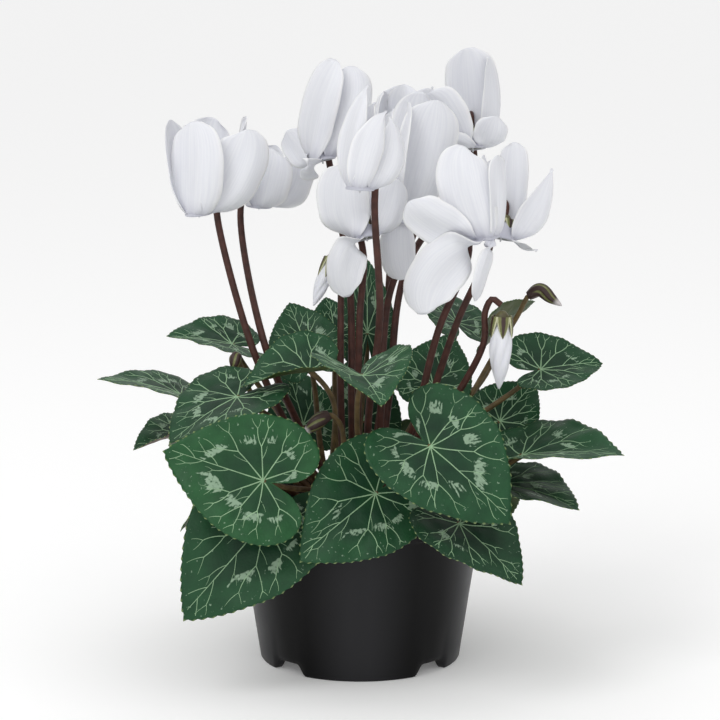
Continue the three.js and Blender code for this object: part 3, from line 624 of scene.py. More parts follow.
# The drain holes are cut out of the floor.
def cutDrains(piece, shape):
    sides = shape["drainSides"]
    around = np.linspace(0, 2 * math.pi, sides, endpoint=False)
    points, faces = [], []
    for k in range(shape["drains"]):
        turn = 2 * math.pi * k / shape["drains"]
        x = shape["drainDistance"] * math.cos(turn) + shape["drainRadius"] * np.cos(around)
        y = shape["drainDistance"] * math.sin(turn) + shape["drainRadius"] * np.sin(around)
        base = len(points)
        for height in (shape["floorHeight"] - 3, shape["floorHeight"] + shape["floorThickness"] + 3):
            points += list(np.stack([x, y, np.full(sides, height)], axis=1) * mm)
        for j in range(sides):
            n = (j + 1) % sides
            faces.append((base + j, base + n, base + sides + n, base + sides + j))
        faces.append(tuple(base + j for j in reversed(range(sides))))
        faces.append(tuple(base + sides + j for j in range(sides)))
    cutter = meshObject("drainCutter", points, faces, ["pot"], smooth=False)
    modifier = piece.modifiers.new("drains", "BOOLEAN")
    modifier.operation = "DIFFERENCE"
    modifier.solver = "EXACT"
    modifier.object = cutter
    bpy.context.view_layer.update()
    evaluated = piece.evaluated_get(bpy.context.evaluated_depsgraph_get())
    mesh = bpy.data.meshes.new_from_object(evaluated)
    piece.modifiers.remove(modifier)
    piece.data = mesh
    bpy.data.objects.remove(cutter)
    return piece


keepPiece(cutDrains(makePot(potShape), potShape), "pot", "pot")
print("pot made", flush=True)

# Potting mix

soilShape = {
    "edge": 65.0, "crown": 68.3, "inner": 27.4, "bottom": 9.0, "clearance": 0.35,
    "rings": 26, "sides": 180, "waves": 14, "seed": 4,
}
crumbShape = {
    "count": 1500, "size": 0.9, "seed": 7, "inner": 28.0, "innerHeight": 68.0, "outer": 54.0,
    "outerHeight": 65.0, "sides": 40,
}


def makeSoil(shape):
    pot = potShape
    slope = (pot["rimRadius"] - pot["baseRadius"]) / pot["height"]
    inside = lambda z: pot["baseRadius"] + slope * z - pot["wall"] - shape["clearance"]
    outer = inside(shape["edge"])
    rng = np.random.default_rng(shape["seed"])
    waves = [(rng.uniform(0.03, 0.28, 2) * rng.choice([-1, 1], 2), rng.uniform(0, 6.28),
              rng.uniform(0.1, 0.35)) for _ in range(shape["waves"])]
    angles = np.linspace(0, 2 * math.pi, shape["sides"], endpoint=False)
    points = []
    for k in range(shape["rings"]):
        part = k / (shape["rings"] - 1)
        radius = outer + (shape["inner"] * 0.6 - outer) * part
        x, y = radius * np.cos(angles), radius * np.sin(angles)
        z = shape["edge"] + (shape["crown"] - shape["edge"]) * smooth(part * 1.25)
        rough = sum(a * np.sin(w[0] * x * 3 + w[1] * y * 3 + p) for w, p, a in waves)
        points.append(np.stack([x, y, z + rough * min(1, 6 * part + 0.1) * (part < 0.99)], axis=1))
    low = np.stack([inside(shape["bottom"]) * np.cos(angles), inside(shape["bottom"]) * np.sin(angles),
                    np.full(len(angles), shape["bottom"])], axis=1)
    rows = [low] + points
    return meshObject("potting_mix", np.vstack(rows) * mm, ringFaces(len(rows), len(angles)), ["soil"])


def makeCrumbs(shape):
    inner, outer, sides = shape["inner"], shape["outer"], shape["sides"]
    angles = np.linspace(0, 2 * math.pi, sides, endpoint=False)
    points = [(r * math.cos(a) * mm, r * math.sin(a) * mm, z * mm)
              for r, z in ((inner, shape["innerHeight"]), (outer, shape["outerHeight"])) for a in angles]
    faces = [(k, sides + k, sides + (k + 1) % sides, (k + 1) % sides) for k in range(sides)]
    ring = meshObject("crumb_ring", points, faces, ["soil"])
    area = math.pi * (outer ** 2 - inner ** 2) * mm ** 2
    values = {"Density": shape["count"] / area, "Size": shape["size"] * mm, "Seed": shape["seed"],
              "Look": materials["soil"]}
    return runTree(ring, crumbs, values, "soil_crumbs")


keepPiece(makeSoil(soilShape), "potting_mix", "soil")
keepPiece(makeCrumbs(crumbShape), "potting_mix", "soil")
print("potting mix made", flush=True)

# Leaves
# Places are in millimetres, in the frame's axes: where the stalk joins, where the tip is, the way it faces.

halfOutline = [
    (0, 1), (0.13, 0.9), (0.36, 0.66), (0.56, 0.36), (0.635, 0.05), (0.6, -0.22), (0.46, -0.42),
    (0.27, -0.47), (0.09, -0.34), (0, -0.09),
]


def leafRow(joint, tip, facing, **traits):
    return {"joint": joint, "tip": tip, "facing": facing, **traits}


leaves = [
    leafRow((-43, -75, 101.5), (-86, -79, 116), (-0.1, -0.93, 0.36)),
    leafRow((7, -60, 92), (-25, -84, 68), (0.25, -0.8, 0.45), wide=0.9),
    leafRow((31, -76, 117), (67, -92, 89), (0.15, -0.75, 0.64), rootAngle=-56, rise=36),
    leafRow((44, -76, 82), (73, -92, 63), (0.2, -0.5, 0.84), rootAngle=-36),
    leafRow((-43, -62, 80), (-78, -84, 41), (0.15, -0.85, 0.5), wide=0.85, arrive=0.6),
    leafRow((-56, -38, 132), (-86, -62, 120), (-0.05, -0.22, 0.97)),
    leafRow((-84, -6, 127), (-119, -18, 142), (0, -0.12, 0.99), wide=0.85, rootAngle=200),
    leafRow((-84, 12, 104), (-107, -1, 104), (-0.5, -0.3, 0.8), fold=0.5),
    leafRow((-64, -22, 88), (-85, -32, 70), (-0.6, 0.3, 0.7)),
    leafRow((-61, 18, 147), (-90, 10, 156), (-0.1, -0.3, 0.95), fold=0.25),
    leafRow((-23, -31, 143), (-54, -36, 141), (0, -0.25, 0.97), fold=0.6),
    leafRow((1, -63, 146.5), (9, -97, 144.5), (0, -0.2, 0.98), fold=0.55),
    leafRow((85, 0, 138), (115, 8, 142), (0, -0.55, 0.84), fold=0.3),
    leafRow((75, -25, 102), (118, -45, 113), (0.05, -0.16, 0.98), arrive=0.3, fold=0.25),
    leafRow((64, -15, 86), (100, -39, 87), (0.1, -0.15, 0.98)),
    leafRow((-25, 12, 144), (-34, 26, 167), (0, -0.85, 0.5), rootAngle=140),
    leafRow((-12, 26, 150), (-16, 36, 168), (0.2, -0.85, 0.5)),
    leafRow((66, 44, 150), (83, 56, 164), (0.1, 0.6, 0.75)),
    leafRow((48, 64, 150), (40, 88, 166), (-0.1, 0.6, 0.75)),
    leafRow((35, 22, 127), (45, 36, 150), (0.2, -0.75, 0.6)),
    leafRow((3.6, 46.3, 148), (3, 60, 184), (0, -0.9, 0.4), wide=0.55, fold=0.4, rootAngle=93),
    leafRow((67, 16, 110), (85, 26, 128), (0.3, -0.6, 0.7)),
    leafRow((62, 48, 104), (94, 72, 100), (0.3, 0.25, 0.9)),
    leafRow((38, 67, 113), (52, 97, 101), (0.15, 0.5, 0.85)),
    leafRow((1.5, 58, 102), (-2.5, 69, 135), (0, -0.93, 0.36), wide=0.85),
    leafRow((-28, 52, 101), (-36, 62, 131), (0.2, -0.9, 0.38), wide=0.85),
    leafRow((-66, 46, 100), (-96, 66, 92), (-0.35, 0.3, 0.88)),
    leafRow((14, 72, 84), (20, 94, 50), (0.1, 0.8, 0.55)),
    leafRow((-46, 62, 82), (-66, 78, 50), (-0.4, 0.7, 0.55)),
    leafRow((60, 52, 82), (76, 64, 52), (0.6, 0.55, 0.5)),
]

# The thickness is in millimetres, and folds, waves and teeth are shares of the blade's length.
bladeShape = {
    "around": 168, "rings": 20, "thickness": 0.55, "thinRim": 0.45, "softness": 0.06, "fold": 0.14,
    "droop": 0.14, "waves": 3, "wave": 0.03, "margin": 0.013, "marginWaves": 11, "quilt": 0.014,
    "quiltRows": 26, "toothSize": 0.011, "wide": 1, "arrive": 0.5,
}
mainVeins = [0, 34, 68, 104, 142, 172]


def leafFrame(leaf):
    joint, tip = np.array(leaf["joint"], float), np.array(leaf["tip"], float)
    length = np.linalg.norm(tip - joint)
    along = (tip - joint) / length
    normal = np.array(leaf["facing"], float)
    normal = unit(normal - along * normal.dot(along))
    return joint, along, normal, np.cross(along, normal), length


def leafTrait(leaf, name):
    return leaf.get(name, bladeShape[name])


def outlineLoop(leaf, count):
    p = np.array(halfOutline, float)
    dense = []
    for k in range(len(p) - 1):
        a, b, c, d = p[max(k - 1, 0)], p[k], p[k + 1], p[min(k + 2, len(p) - 1)]
        t = np.linspace(0, 1, 40)[:, None]
        first, last = (c - a) / 2, (d - b) / 2
        dense.append((2 * b - 2 * c + first + last) * t ** 3
                     + (-3 * b + 3 * c - 2 * first - last) * t ** 2 + first * t + b)
    dense = np.vstack(dense)
    path = np.hstack([dense, np.zeros((len(dense), 1))])
    right = evenly(path, count // 2 + 1)[:, :2]
    left = right[1:-1][::-1] * [-1, 1]
    loop = np.vstack([right, left])
    loop[:, 0] *= leafTrait(leaf, "wide")
    return loop


def bladeLift(leaf, x, y):
    shape = bladeShape
    soft = shape["softness"]
    crease = np.sqrt(x * x + soft ** 2) - soft
    turn = np.arctan2(x, y)
    reach = np.sqrt(x * x + y * y)
    wave = leafTrait(leaf, "wave") * reach ** 2 * np.sin(shape["waves"] * turn + leaf["phase"])
    ripple = shape["margin"] * smooth((reach - 0.35) / 0.4)
    ripple = ripple * np.sin(shape["marginWaves"] * turn + 2 * leaf["phase"])
    return leafTrait(leaf, "fold") * crease - leafTrait(leaf, "droop") * np.maximum(0, y) ** 2 + wave + ripple


def quiltLift(x, y):
    turn = np.abs(np.degrees(np.arctan2(x, y)))
    reach = np.sqrt(x * x + y * y)
    lift = np.zeros_like(x)
    for a, b in zip(mainVeins[:-1], mainVeins[1:]):
        part = (turn - a) / (b - a)
        inside = (part > 0) & (part < 1)
        lift = np.where(inside, np.sin(math.pi * np.clip(part, 0, 1)) ** 0.7, lift)
    rows = 0.6 + 0.4 * np.cos(bladeShape["quiltRows"] * reach)
    return bladeShape["quilt"] * lift * smooth((reach - 0.08) / 0.2) * rows


def placeOnBlade(leaf, x, y, lift):
    joint, along, normal, across, length = leafFrame(leaf)
    z = bladeLift(leaf, x, y) + quiltLift(x, y)
    return (joint + np.outer(x * length, across) + np.outer(y * length, along)
            + np.outer(z * length + lift, normal))


# The lean is in degrees, the rest in shares of the field or of the way to the blade's edge.
markShape = {
    "lean": (-4, 4), "centre": (0.50, 0.64), "wide": (0.36, 0.6), "strength": (0.66, 1.0), "weak": 0.3,
    "strongShare": 0.78, "tilt": (-0.05, 0.03), "bow": (-0.05, 0.0), "thick": (0.055, 0.105),
    "outward": 1.6, "inward": 0.9,
}


# One silver mark in each field between two main veins, weaker in about every fifth.
def silverMarks(turn, part, rng):
    shape = markShape
    marks, outer = np.zeros_like(turn), np.zeros_like(turn)
    for side in (-1, 1):
        for a, b in zip(mainVeins[:-1], mainVeins[1:]):
            middle = side * ((a + b) / 2 + rng.uniform(*shape["lean"]))
            centre = rng.uniform(*shape["centre"])
            wide = (b - a) * rng.uniform(*shape["wide"])
            strong = rng.random() < shape["strongShare"]
            strength = rng.uniform(*shape["strength"]) if strong else shape["weak"]
            place = (np.degrees(turn) - middle) / wide
            bow = centre + rng.uniform(*shape["tilt"]) * place + rng.uniform(*shape["bow"]) * place ** 2
            thick = rng.uniform(*shape["thick"]) * np.where(part > bow, shape["outward"], shape["inward"])
            mark = strength * np.exp(-np.abs(place) ** 2.6 - np.abs((part - bow) / thick) ** 2)
            outer = np.where(mark > marks, smooth((part - bow + 0.02) / 0.06), outer)
            marks = np.maximum(marks, mark)
    return marks, outer


def makeBlade(leaf, name, rng):
    shape = bladeShape
    count, rings = shape["around"], shape["rings"]
    loop = outlineLoop(leaf, count)
    tooth = np.where(np.arange(count) % 3 == 0, 1.0, np.where(np.arange(count) % 3 == 1, 0.2, -0.8))
    parts = np.linspace(0, 1, rings + 1)[1:] ** 0.9
    toothed = lambda side, s: loop[:, side] * s * (1 + shape["toothSize"] * tooth * (s > 0.999))
    x = np.concatenate([[0.0]] + [toothed(0, s) for s in parts])
    y = np.concatenate([[0.0]] + [toothed(1, s) for s in parts])
    partOf = np.concatenate([[0.0]] + [np.full(count, s) for s in parts])
    half = 0.5 * shape["thickness"] * (1 - shape["thinRim"] * smooth((partOf - 0.8) / 0.2))
    upper = placeOnBlade(leaf, x, y, half)
    lower = placeOnBlade(leaf, x, y, -half)
    n = len(x)
    faces, looks = [], []
    for side, shift in ((0, 0), (1, n)):
        for k in range(count):
            m = (k + 1) % count
            face = (shift, shift + 1 + m, shift + 1 + k)
            faces.append(face if side == 0 else face[::-1])
            looks.append(side)
            for ring in range(rings - 1):
                a, b = shift + 1 + ring * count + k, shift + 1 + ring * count + m
                face = (a, b, b + count, a + count)
                faces.append(face if side == 0 else face[::-1])
                looks.append(side)
    last = 1 + (rings - 1) * count
    for k in range(count):
        m = (k + 1) % count
        faces.append((last + k, last + m, n + last + m, n + last + k))
        looks.append(0)
    piece = meshObject(name, np.vstack([upper, lower]) * mm, faces, ["leafTop", "leafUnderside"], looks)
    turn = np.arctan2(x, y)
    edge = np.zeros(n)
    edge[-count:] = np.where(tooth > 0.5, 1.0, 0.45)
    marks, outer = silverMarks(turn, partOf, rng)
    pointValues(piece, "silver", np.tile(marks, 2))
    pointValues(piece, "outer", np.tile(outer, 2))
    pointValues(piece, "turn", np.tile(turn, 2))
    pointValues(piece, "edge", np.tile(edge, 2))
    pointValues(piece, "reach", np.tile(partOf, 2))
    pointValues(piece, "toneAndShade", np.full(2 * n, leaf["toneAndShade"]))
    pointValues(piece, "age", np.full(2 * n, leaf["age"]))
    cornerUv(piece, "blade", np.tile(np.stack([x + leaf["phase"], y], axis=1), (2, 1)))
    return piece


def veinPath(loop, start, heading, bend, reach, steps):
    place = np.array(start, float)
    points = [place.copy()]
    for k in range(steps):
        heading = heading + bend / steps
        place = place + reach / steps * np.array([math.sin(heading), math.cos(heading)])
        if edgePart(loop, place) > 0.96:
            break
        points.append(place.copy())
    return np.array(points), heading


def rimDistance(loop, heading):
    turns = np.arctan2(loop[:, 0], loop[:, 1])
    nearest = np.argmin(np.abs(np.angle(np.exp(1j * (turns - heading)))))
    return math.hypot(*loop[nearest])


def edgePart(loop, place):
    return math.hypot(*place) / rimDistance(loop, math.atan2(place[0], place[1]))


# Half widths are in millimetres and angles in radians, but mainLean is in degrees. A reach is a share of the
# blade's length, of the way to its edge, or of the vein before.
veinShape = {
    "steps": 8, "forks": 2, "wander": (-0.25, 0.25), "taper": 0.75, "lastTaper": 0.35,
    "twigAt": 5, "twigAngle": (0.6, 0.8), "twigBend": 0.4, "twigReach": 0.42, "twigSteps": 6,
    "spread": (0.5, 0.8), "lean": (-0.15, 0.15), "forkBend": (0.3, 0.6), "forkReach": (0.48, 0.68),
    "midrib": (0.42, 0.14), "midribTurn": (-0.05, 0.05), "midribBend": (-0.12, 0.12), "midribSteps": 26,
    "branches": ((9, -1), (12, 1), (16, -1), (18, 1), (21, -1)), "branch": 0.22,
    "branchAngle": (0.6, 0.85), "branchReach": (0.15, 0.22), "branchBend": 0.4,
    "main": 0.4, "mainLean": (-4, 4), "mainReach": (0.48, 0.56),
}


# A vein forks at its end into two thinner ones, and those fork once more.
def forkVein(loop, start, heading, bend, reach, thick, level, rng, paths):
    shape = veinShape
    run, end = veinPath(loop, start, heading, bend + rng.uniform(*shape["wander"]), reach, shape["steps"])
    if len(run) < 3:
        return
    thin = shape["taper" if level < shape["forks"] else "lastTaper"] * thick
    paths.append((run, thick, thin))
    if level == 0:
        side = rng.choice([-1, 1])
        away = heading + side * rng.uniform(*shape["twigAngle"])
        twig, _ = veinPath(loop, run[shape["twigAt"]], away, -side * shape["twigBend"],
                           shape["twigReach"] * reach, shape["twigSteps"])
        paths.append((twig, 0.45 * thick, 0.2 * thick))
    if level < shape["forks"] and len(run) == shape["steps"] + 1:
        spread = rng.uniform(*shape["spread"])
        lean = rng.uniform(*shape["lean"])
        for side in (-1, 1):
            forkVein(loop, run[-1], end + lean + side * spread, -side * rng.uniform(*shape["forkBend"]),
                     reach * rng.uniform(*shape["forkReach"]), thin, level + 1, rng, paths)


def leafVeins(leaf, rng):
    shape = veinShape
    loop = outlineLoop(leaf, 96)
    loop[:, 0] /= leafTrait(leaf, "wide")
    paths = []
    midrib, _ = veinPath(loop, (0, 0), rng.uniform(*shape["midribTurn"]), rng.uniform(*shape["midribBend"]),
                         1.0, shape["midribSteps"])
    paths.append((midrib, *shape["midrib"]))
    for j, side in shape["branches"]:
        if j + 1 < len(midrib):
            way = midrib[j + 1] - midrib[j]
            out = math.atan2(way[0], way[1]) + side * rng.uniform(*shape["branchAngle"])
            forkVein(loop, midrib[j], out, -shape["branchBend"] * side, rng.uniform(*shape["branchReach"]),
                     shape["branch"], 1, rng, paths)
    for side in (-1, 1):
        for angle in mainVeins[1:-1]:
            heading = side * math.radians(angle + rng.uniform(*shape["mainLean"]))
            reach = rng.uniform(*shape["mainReach"]) * rimDistance(loop, heading)
            forkVein(loop, (0, 0), heading, 0.0, reach, shape["main"], 0, rng, paths)
    return paths


def makeVeins(leaf, name, rng):
    curves = []
    wide = leafTrait(leaf, "wide")
    for path, thick, thin in leafVeins(leaf, rng):
        radii = np.linspace(thick, thin, len(path))
        lift = 0.5 * bladeShape["thickness"] - 0.5 * radii
        points = placeOnBlade(leaf, path[:, 0] * wide, path[:, 1], lift)
        curves.append((points, radii))
    return runTree(curveThrough(name, curves), tubes, {"Sides": 5, "Look": materials["vein"]}, name)


# How fresh a green each leaf has, by its number, if it isn't the usual tone. Leaf 4's dark tone is painted
# shade, for the shadow that leaf 3 casts on it. The old leaf is brown below.
usualTone = 0.4
oldLeaf = 8
leafTonesAndShade = {1: 0.62, 2: 0.45, 3: 0.45, 4: 0.15, 5: 0.4, 6: 0.3, 9: 0.9, 12: 0.55, 13: 0.3, 14: 0.45, 18: 0.8}
for index, leaf in enumerate(leaves):
    leaf["phase"] = 1.7 * index
    leaf["toneAndShade"] = leafTonesAndShade.get(index + 1, usualTone)
    leaf["age"] = 1.0 if index + 1 == oldLeaf else 0.0
    node = "leaf_%02d" % (index + 1)
    keepPiece(makeBlade(leaf, node + "_blade", np.random.default_rng(100 + index)), "leaf", node)
    keepPiece(makeVeins(leaf, node + "_veins", np.random.default_rng(200 + index)), "leaf", node)
print("leaves made", flush=True)

# Tuber, leaf stalks and small buds

tuberShape = {"radius": 27, "halfHeight": 12, "centre": 65, "around": 96, "rows": 40, "waves": 12, "seed": 9}
stalkShape = {
    "radius": 1.5, "sunk": 4, "innerRing": 17.5, "outerRing": 22.5, "lowLeafHeight": 98, "lowRise": 20,
    "lift": 6, "spread": 0.18, "slack": 0.4, "aim": 2.5, "under": 0.15, "thickFoot": 1.06, "taper": 0.3,
    "flare": 0.12, "sides": 14, "flowerSides": 16,
}


def crownHeight(radius):
    shape = tuberShape
    return shape["centre"] + shape["halfHeight"] * math.sqrt(1 - (radius / shape["radius"]) ** 2)


def makeTuber(shape):
    rng = np.random.default_rng(shape["seed"])
    waves = [(rng.uniform(2, 9), rng.uniform(2, 8), rng.uniform(0, 6.28), rng.uniform(0.05, 0.25))
             for _ in range(shape["waves"])]
    angles = np.linspace(0, 2 * math.pi, shape["around"], endpoint=False)
    rows = []
    for k in range(1, shape["rows"]):
        lat = -math.pi / 2 + math.pi * k / shape["rows"]
        bump = sum(a * np.sin(round(u) * angles + v * lat + p) for u, v, p, a in waves)
        radius = (shape["radius"] - 0.5 + bump) * math.cos(lat)
        z = shape["centre"] + (shape["halfHeight"] - 0.3 + 0.5 * bump) * math.sin(lat)
        rows.append(np.stack([radius * np.cos(angles), radius * np.sin(angles), z], axis=1))
    count = len(angles)
    bottom = [[0, 0, shape["centre"] - shape["halfHeight"] + 0.5]]
    top = [[0, 0, shape["centre"] + shape["halfHeight"] - 0.5]]
    points = np.vstack([bottom] + rows + [top])
    faces = []
    final = len(points) - 1
    for k in range(count):
        n = (k + 1) % count
        faces.append((0, 1 + n, 1 + k))
        for row in range(len(rows) - 1):
            a = 1 + row * count
            faces.append((a + k, a + n, a + count + n, a + count + k))
        a = 1 + (len(rows) - 1) * count
        faces.append((a + k, a + n, final))
    return meshObject("tuber", points * mm, faces, ["tuber"])


def leafStalkPath(leaf):
    joint, along, normal, _, _ = leafFrame(leaf)
    shape = stalkShape
    low = leaf["joint"][2] < shape["lowLeafHeight"]
    ring = shape["outerRing"] if low else shape["innerRing"]
    angle = math.radians(leaf.get("rootAngle", math.degrees(math.atan2(joint[1], joint[0]))))
    outward = np.array([math.cos(angle), math.sin(angle), 0])
    root = outward * ring
    root[2] = crownHeight(ring) - shape["sunk"]
    arrive = leafTrait(leaf, "arrive")
    inward = unit(normal * arrive + along * (1 - arrive))
    end = joint - normal * shape["under"]
    reach = np.linalg.norm(joint + shape["aim"] * inward - root)
    usualRise = 0.5 * (joint[2] + shape["aim"] * inward[2] - root[2]) + shape["lift"]
    rise = leaf.get("rise", shape["lowRise"] if low else usualRise)
    first = root + outward * shape["spread"] * reach + [0, 0, rise]
    second = joint - inward * shape["slack"] * reach
    t = np.linspace(0, 1, 60)[:, None]
    path = root * (1 - t) ** 3 + 3 * first * t * (1 - t) ** 2 + 3 * second * t ** 2 * (1 - t) + end * t ** 3
    return evenly(path, 30)


# The twists are how far the grooves wind from end to end, in radians.
budShape = {"rows": 40, "sides": 40, "grooves": 5, "grooveDepth": 0.16, "bigTwist": 1.9, "smallTwist": 1.2}


# A bud is one rolled form with five grooves that wind round it.
def budRoll(points, width, name, looks, twist):
    shape = budShape
    rows, sides = shape["rows"], shape["sides"]
    path = throughPoints(points, rows)
    tangent = np.gradient(path, axis=0)
    tangent /= np.linalg.norm(tangent, axis=1)[:, None]
    side = unit(np.cross(tangent[0], [0.3, 1, 0.1]))
    rings, grooves = [], []
    for k in range(rows):
        s = k / (rows - 1)
        side = unit(side - tangent[k] * side.dot(tangent[k]))
        other = np.cross(tangent[k], side)
        swell = math.sin(math.pi * min(0.985, 0.2 + 0.785 * s)) ** 0.85
        angles = 2 * math.pi * np.arange(sides) / sides
        groove = (0.5 + 0.5 * np.cos(shape["grooves"] * (angles - twist * s))) ** 3
        flute = 1 - shape["grooveDepth"] * groove * (0.3 + 0.7 * smooth(s * 3))
        grooves.append(groove * smooth(s * 2.5))
        radius = np.maximum(0.12, width * swell * flute)
        rings.append(path[k] + np.outer(radius * np.cos(angles), side)
                     + np.outer(radius * np.sin(angles), other))
    piece = meshObject(name, np.vstack(rings) * mm, ringFaces(rows, sides), looks)
    along = np.repeat(np.linspace(0.3, 1, rows), sides)
    pointValues(piece, "along", along)
    pointValues(piece, "across", 0.78 * np.concatenate(grooves))
    around = np.tile(np.arange(sides) / sides, rows)
    cornerUv(piece, "petal", np.stack([around, along], axis=1))
    return piece


# Where each petal leaves the mouth is an angle in degrees, counted from the bloom's right.
def petalRow(start, middle, tip, width, **traits):
    return {"from": start, "middle": middle, "tip": tip, "width": width, **traits}


blooms = [
    {
        "mouth": (-75, 0, 212), "up": (-0.1, -0.06, 1), "root": (-12, -1),
        "way": [(-34, -8, 112), (-50, -11, 150)], "side": 10,
        "petals": [
            petalRow(180, (-85, 2, 234), (-88, 5, 255), 10),
            petalRow(250, (-74, -9, 232), (-77, -7, 255), 13.5, facing=(-0.35, -0.93, 0)),
            petalRow(318, (-54, -6, 230), (-52, -3, 251), 13.5, facing=(0.3, -0.95, 0)),
            petalRow(30, (-56, 11, 236), (-53, 12, 256), 12),
            petalRow(105, (-74, 13, 236), (-68, 14, 255), 12),
        ],
    },
    {
        "mouth": (-49, 50, 210), "up": (0.08, -0.05, 1), "root": (-9, 7),
        "way": [(-30, 6, 112), (-44, -2, 148)], "side": 195,
        "petals": [
            petalRow(345, (-32, 50, 221), (-33, 54, 235), 13, facing=(0.35, -0.95, 0)),
            petalRow(275, (-47, 41, 224), (-42, 42, 238), 13),
            petalRow(205, (-60, 46, 224), (-58, 48, 239), 12),
            petalRow(130, (-56, 62, 224), (-56, 63, 241), 12),
            petalRow(60, (-43, 62, 224), (-41, 63, 238), 12),
        ],
    },
    {
        "mouth": (-18, 31, 234), "up": (-0.2, 0.15, 1), "root": (-3, 5),
        "way": [(-4, 8, 120), (-5, 26, 175)], "side": 70,
        "petals": [
            petalRow(200, (-24, 27, 257), (-11, 31, 281), 10.5, facing=(-0.5, -0.85, 0.1)),
            petalRow(320, (-5, 28, 259), (-5, 35, 278), 12, facing=(0.1, -0.95, 0)),
            petalRow(165, (-27, 38, 238), (-35, 40, 247), 8, facing=(-0.3, -0.9, 0.2)),
            petalRow(245, (-21, 24, 227), (-28, 22, 230), 8, facing=(0.1, -0.7, -0.7)),
            petalRow(70, (-10, 43, 259), (-12, 44, 275), 12),
        ],
    },
    {
        "mouth": (0, -43, 228), "up": (0.06, 0.05, 1), "root": (3, -9),
        "way": [(4, -19, 120), (9, -35, 170)], "side": 35,
        "petals": [
            petalRow(195, (-7, -48, 251), (4, -43, 274), 7.5, pointed=1, facing=(-0.7, -0.8, 0)),
            petalRow(262, (1, -51, 249), (12, -48, 263), 7.5, pointed=1, facing=(0.15, -1, 0)),
            petalRow(335, (17, -47, 242), (13, -41, 260), 9, pointed=1, facing=(0.45, -0.85, 0)),
            petalRow(120, (-4, -36, 249), (7, -37, 266), 7.5, pointed=1),
            petalRow(50, (8, -35, 249), (15, -35, 263), 8, pointed=1),
        ],
    },
    {
        "mouth": (19, 22, 210), "up": (0.2, -0.12, 1), "root": (9, 1), "way": [(10, 8, 120), (14, 22, 170)],
        "side": -8,
        "petals": [
            petalRow(215, (17, 16, 237), (23, 20, 262), 12),
            petalRow(300, (32, 12, 238), (36, 18, 263), 15, facing=(0.25, -1, 0)),
            petalRow(265, (15, 12, 194), (21, 13, 179), 8.5, facing=(-0.1, -1, -0.1)),
            petalRow(85, (25, 34, 239), (29, 35, 266), 13),
            petalRow(15, (44, 26, 232), (46, 28, 253), 10),
        ],
    },
    {
        "mouth": (3, -2, 201), "up": (-0.2, 0.25, 0.95), "root": (-1, -2),
        "way": [(-1, -2, 120), (0, -2, 165)], "side": 110,
        "petals": [
            petalRow(185, (-11, -8, 217), (-6, -5, 234), 12.5, facing=(-0.15, -1, 0)),
            petalRow(235, (-11, -9, 193), (-5, -9, 174), 9.5, facing=(-0.3, -1, 0)),
            petalRow(110, (-4, 8, 216), (-5, 10, 231), 10),
            petalRow(40, (8, 7, 215), (7, 9, 231), 10),
            petalRow(330, (14, -4, 212), (17, 0, 228), 9),
        ],
    },
    {
        "mouth": (55, 60, 237), "up": (-0.05, 0.2, 1), "root": (8, 8),
        "way": [(14, 25, 120), (23, 52, 180)], "side": 90,
        "petals": [
            petalRow(80, (56, 68, 261), (52, 66, 285), 13.5, facing=(-0.1, -1, 0.1)),
            petalRow(5, (68, 61, 256), (62, 64, 281), 9, facing=(0.85, -0.5, 0)),
            petalRow(215, (43, 53, 253), (33, 51, 264), 12, facing=(-0.35, -0.9, -0.2)),
            petalRow(325, (62, 52, 241), (66, 53, 253), 9, facing=(0.2, -0.8, -0.45)),
            petalRow(262, (48, 51, 237), (41, 49, 243), 6.5, facing=(-0.1, -0.9, -0.4)),
        ],
    },
    {
        "mouth": (57, -30, 205), "up": (-0.1, -0.12, 1), "root": (9, -6),
        "way": [(24, -14, 110), (36, -22, 160)], "side": 165,
        "petals": [
            petalRow(262, (43, -38, 227), (47, -34, 246), 12.5, facing=(-0.05, -1, 0)),
            petalRow(195, (35, -39, 209), (22, -40, 222), 10.5, facing=(-0.1, -0.95, -0.25)),
            petalRow(232, (30, -36, 196), (30, -37, 170), 12.5, facing=(-0.2, -1, 0)),
            petalRow(325, (63, -35, 226), (62, -33, 242), 8, facing=(0.85, -0.5, 0)),
            petalRow(292, (55, -37, 190), (52, -37, 176), 4.5, facing=(0.6, -0.8, 0)),
        ],
    },
    {
        "mouth": (66, 4, 200), "up": (0.2, 0.2, 1), "root": (14, 3), "way": [(30, 6, 112), (46, 6, 160)],
        "side": 120,
        "petals": [
            petalRow(60, (72, 10, 227), (72, 12, 244), 7.5, facing=(0.1, -1, 0)),
            petalRow(350, (81, 0, 208), (89, 0, 233), 7.5, pointed=1, facing=(0.3, -0.9, 0.2)),
            petalRow(335, (73, 0, 195), (83, -2, 195), 5, facing=(0.1, -0.25, -1)),
            petalRow(115, (66, 14, 223), (66, 16, 237), 8),
            petalRow(185, (58, 10, 221), (58, 12, 238), 8),
        ],
    },
    {
        "mouth": (22, 79, 228), "up": (0, -0.05, 1), "root": (3, 12), "way": [(11, 38, 120), (15, 64, 180)],
        "side": 100,
        "petals": [
            petalRow(36, (34, 87, 246), (36, 89, 265), 13),
            petalRow(108, (19, 91, 246), (20, 93, 265), 12),
            petalRow(180, (11, 81, 245), (12, 82, 263), 12),
            petalRow(252, (19, 70, 246), (22, 72, 267), 13),
            petalRow(324, (32, 73, 246), (33, 75, 265), 13),
        ],
    },
]

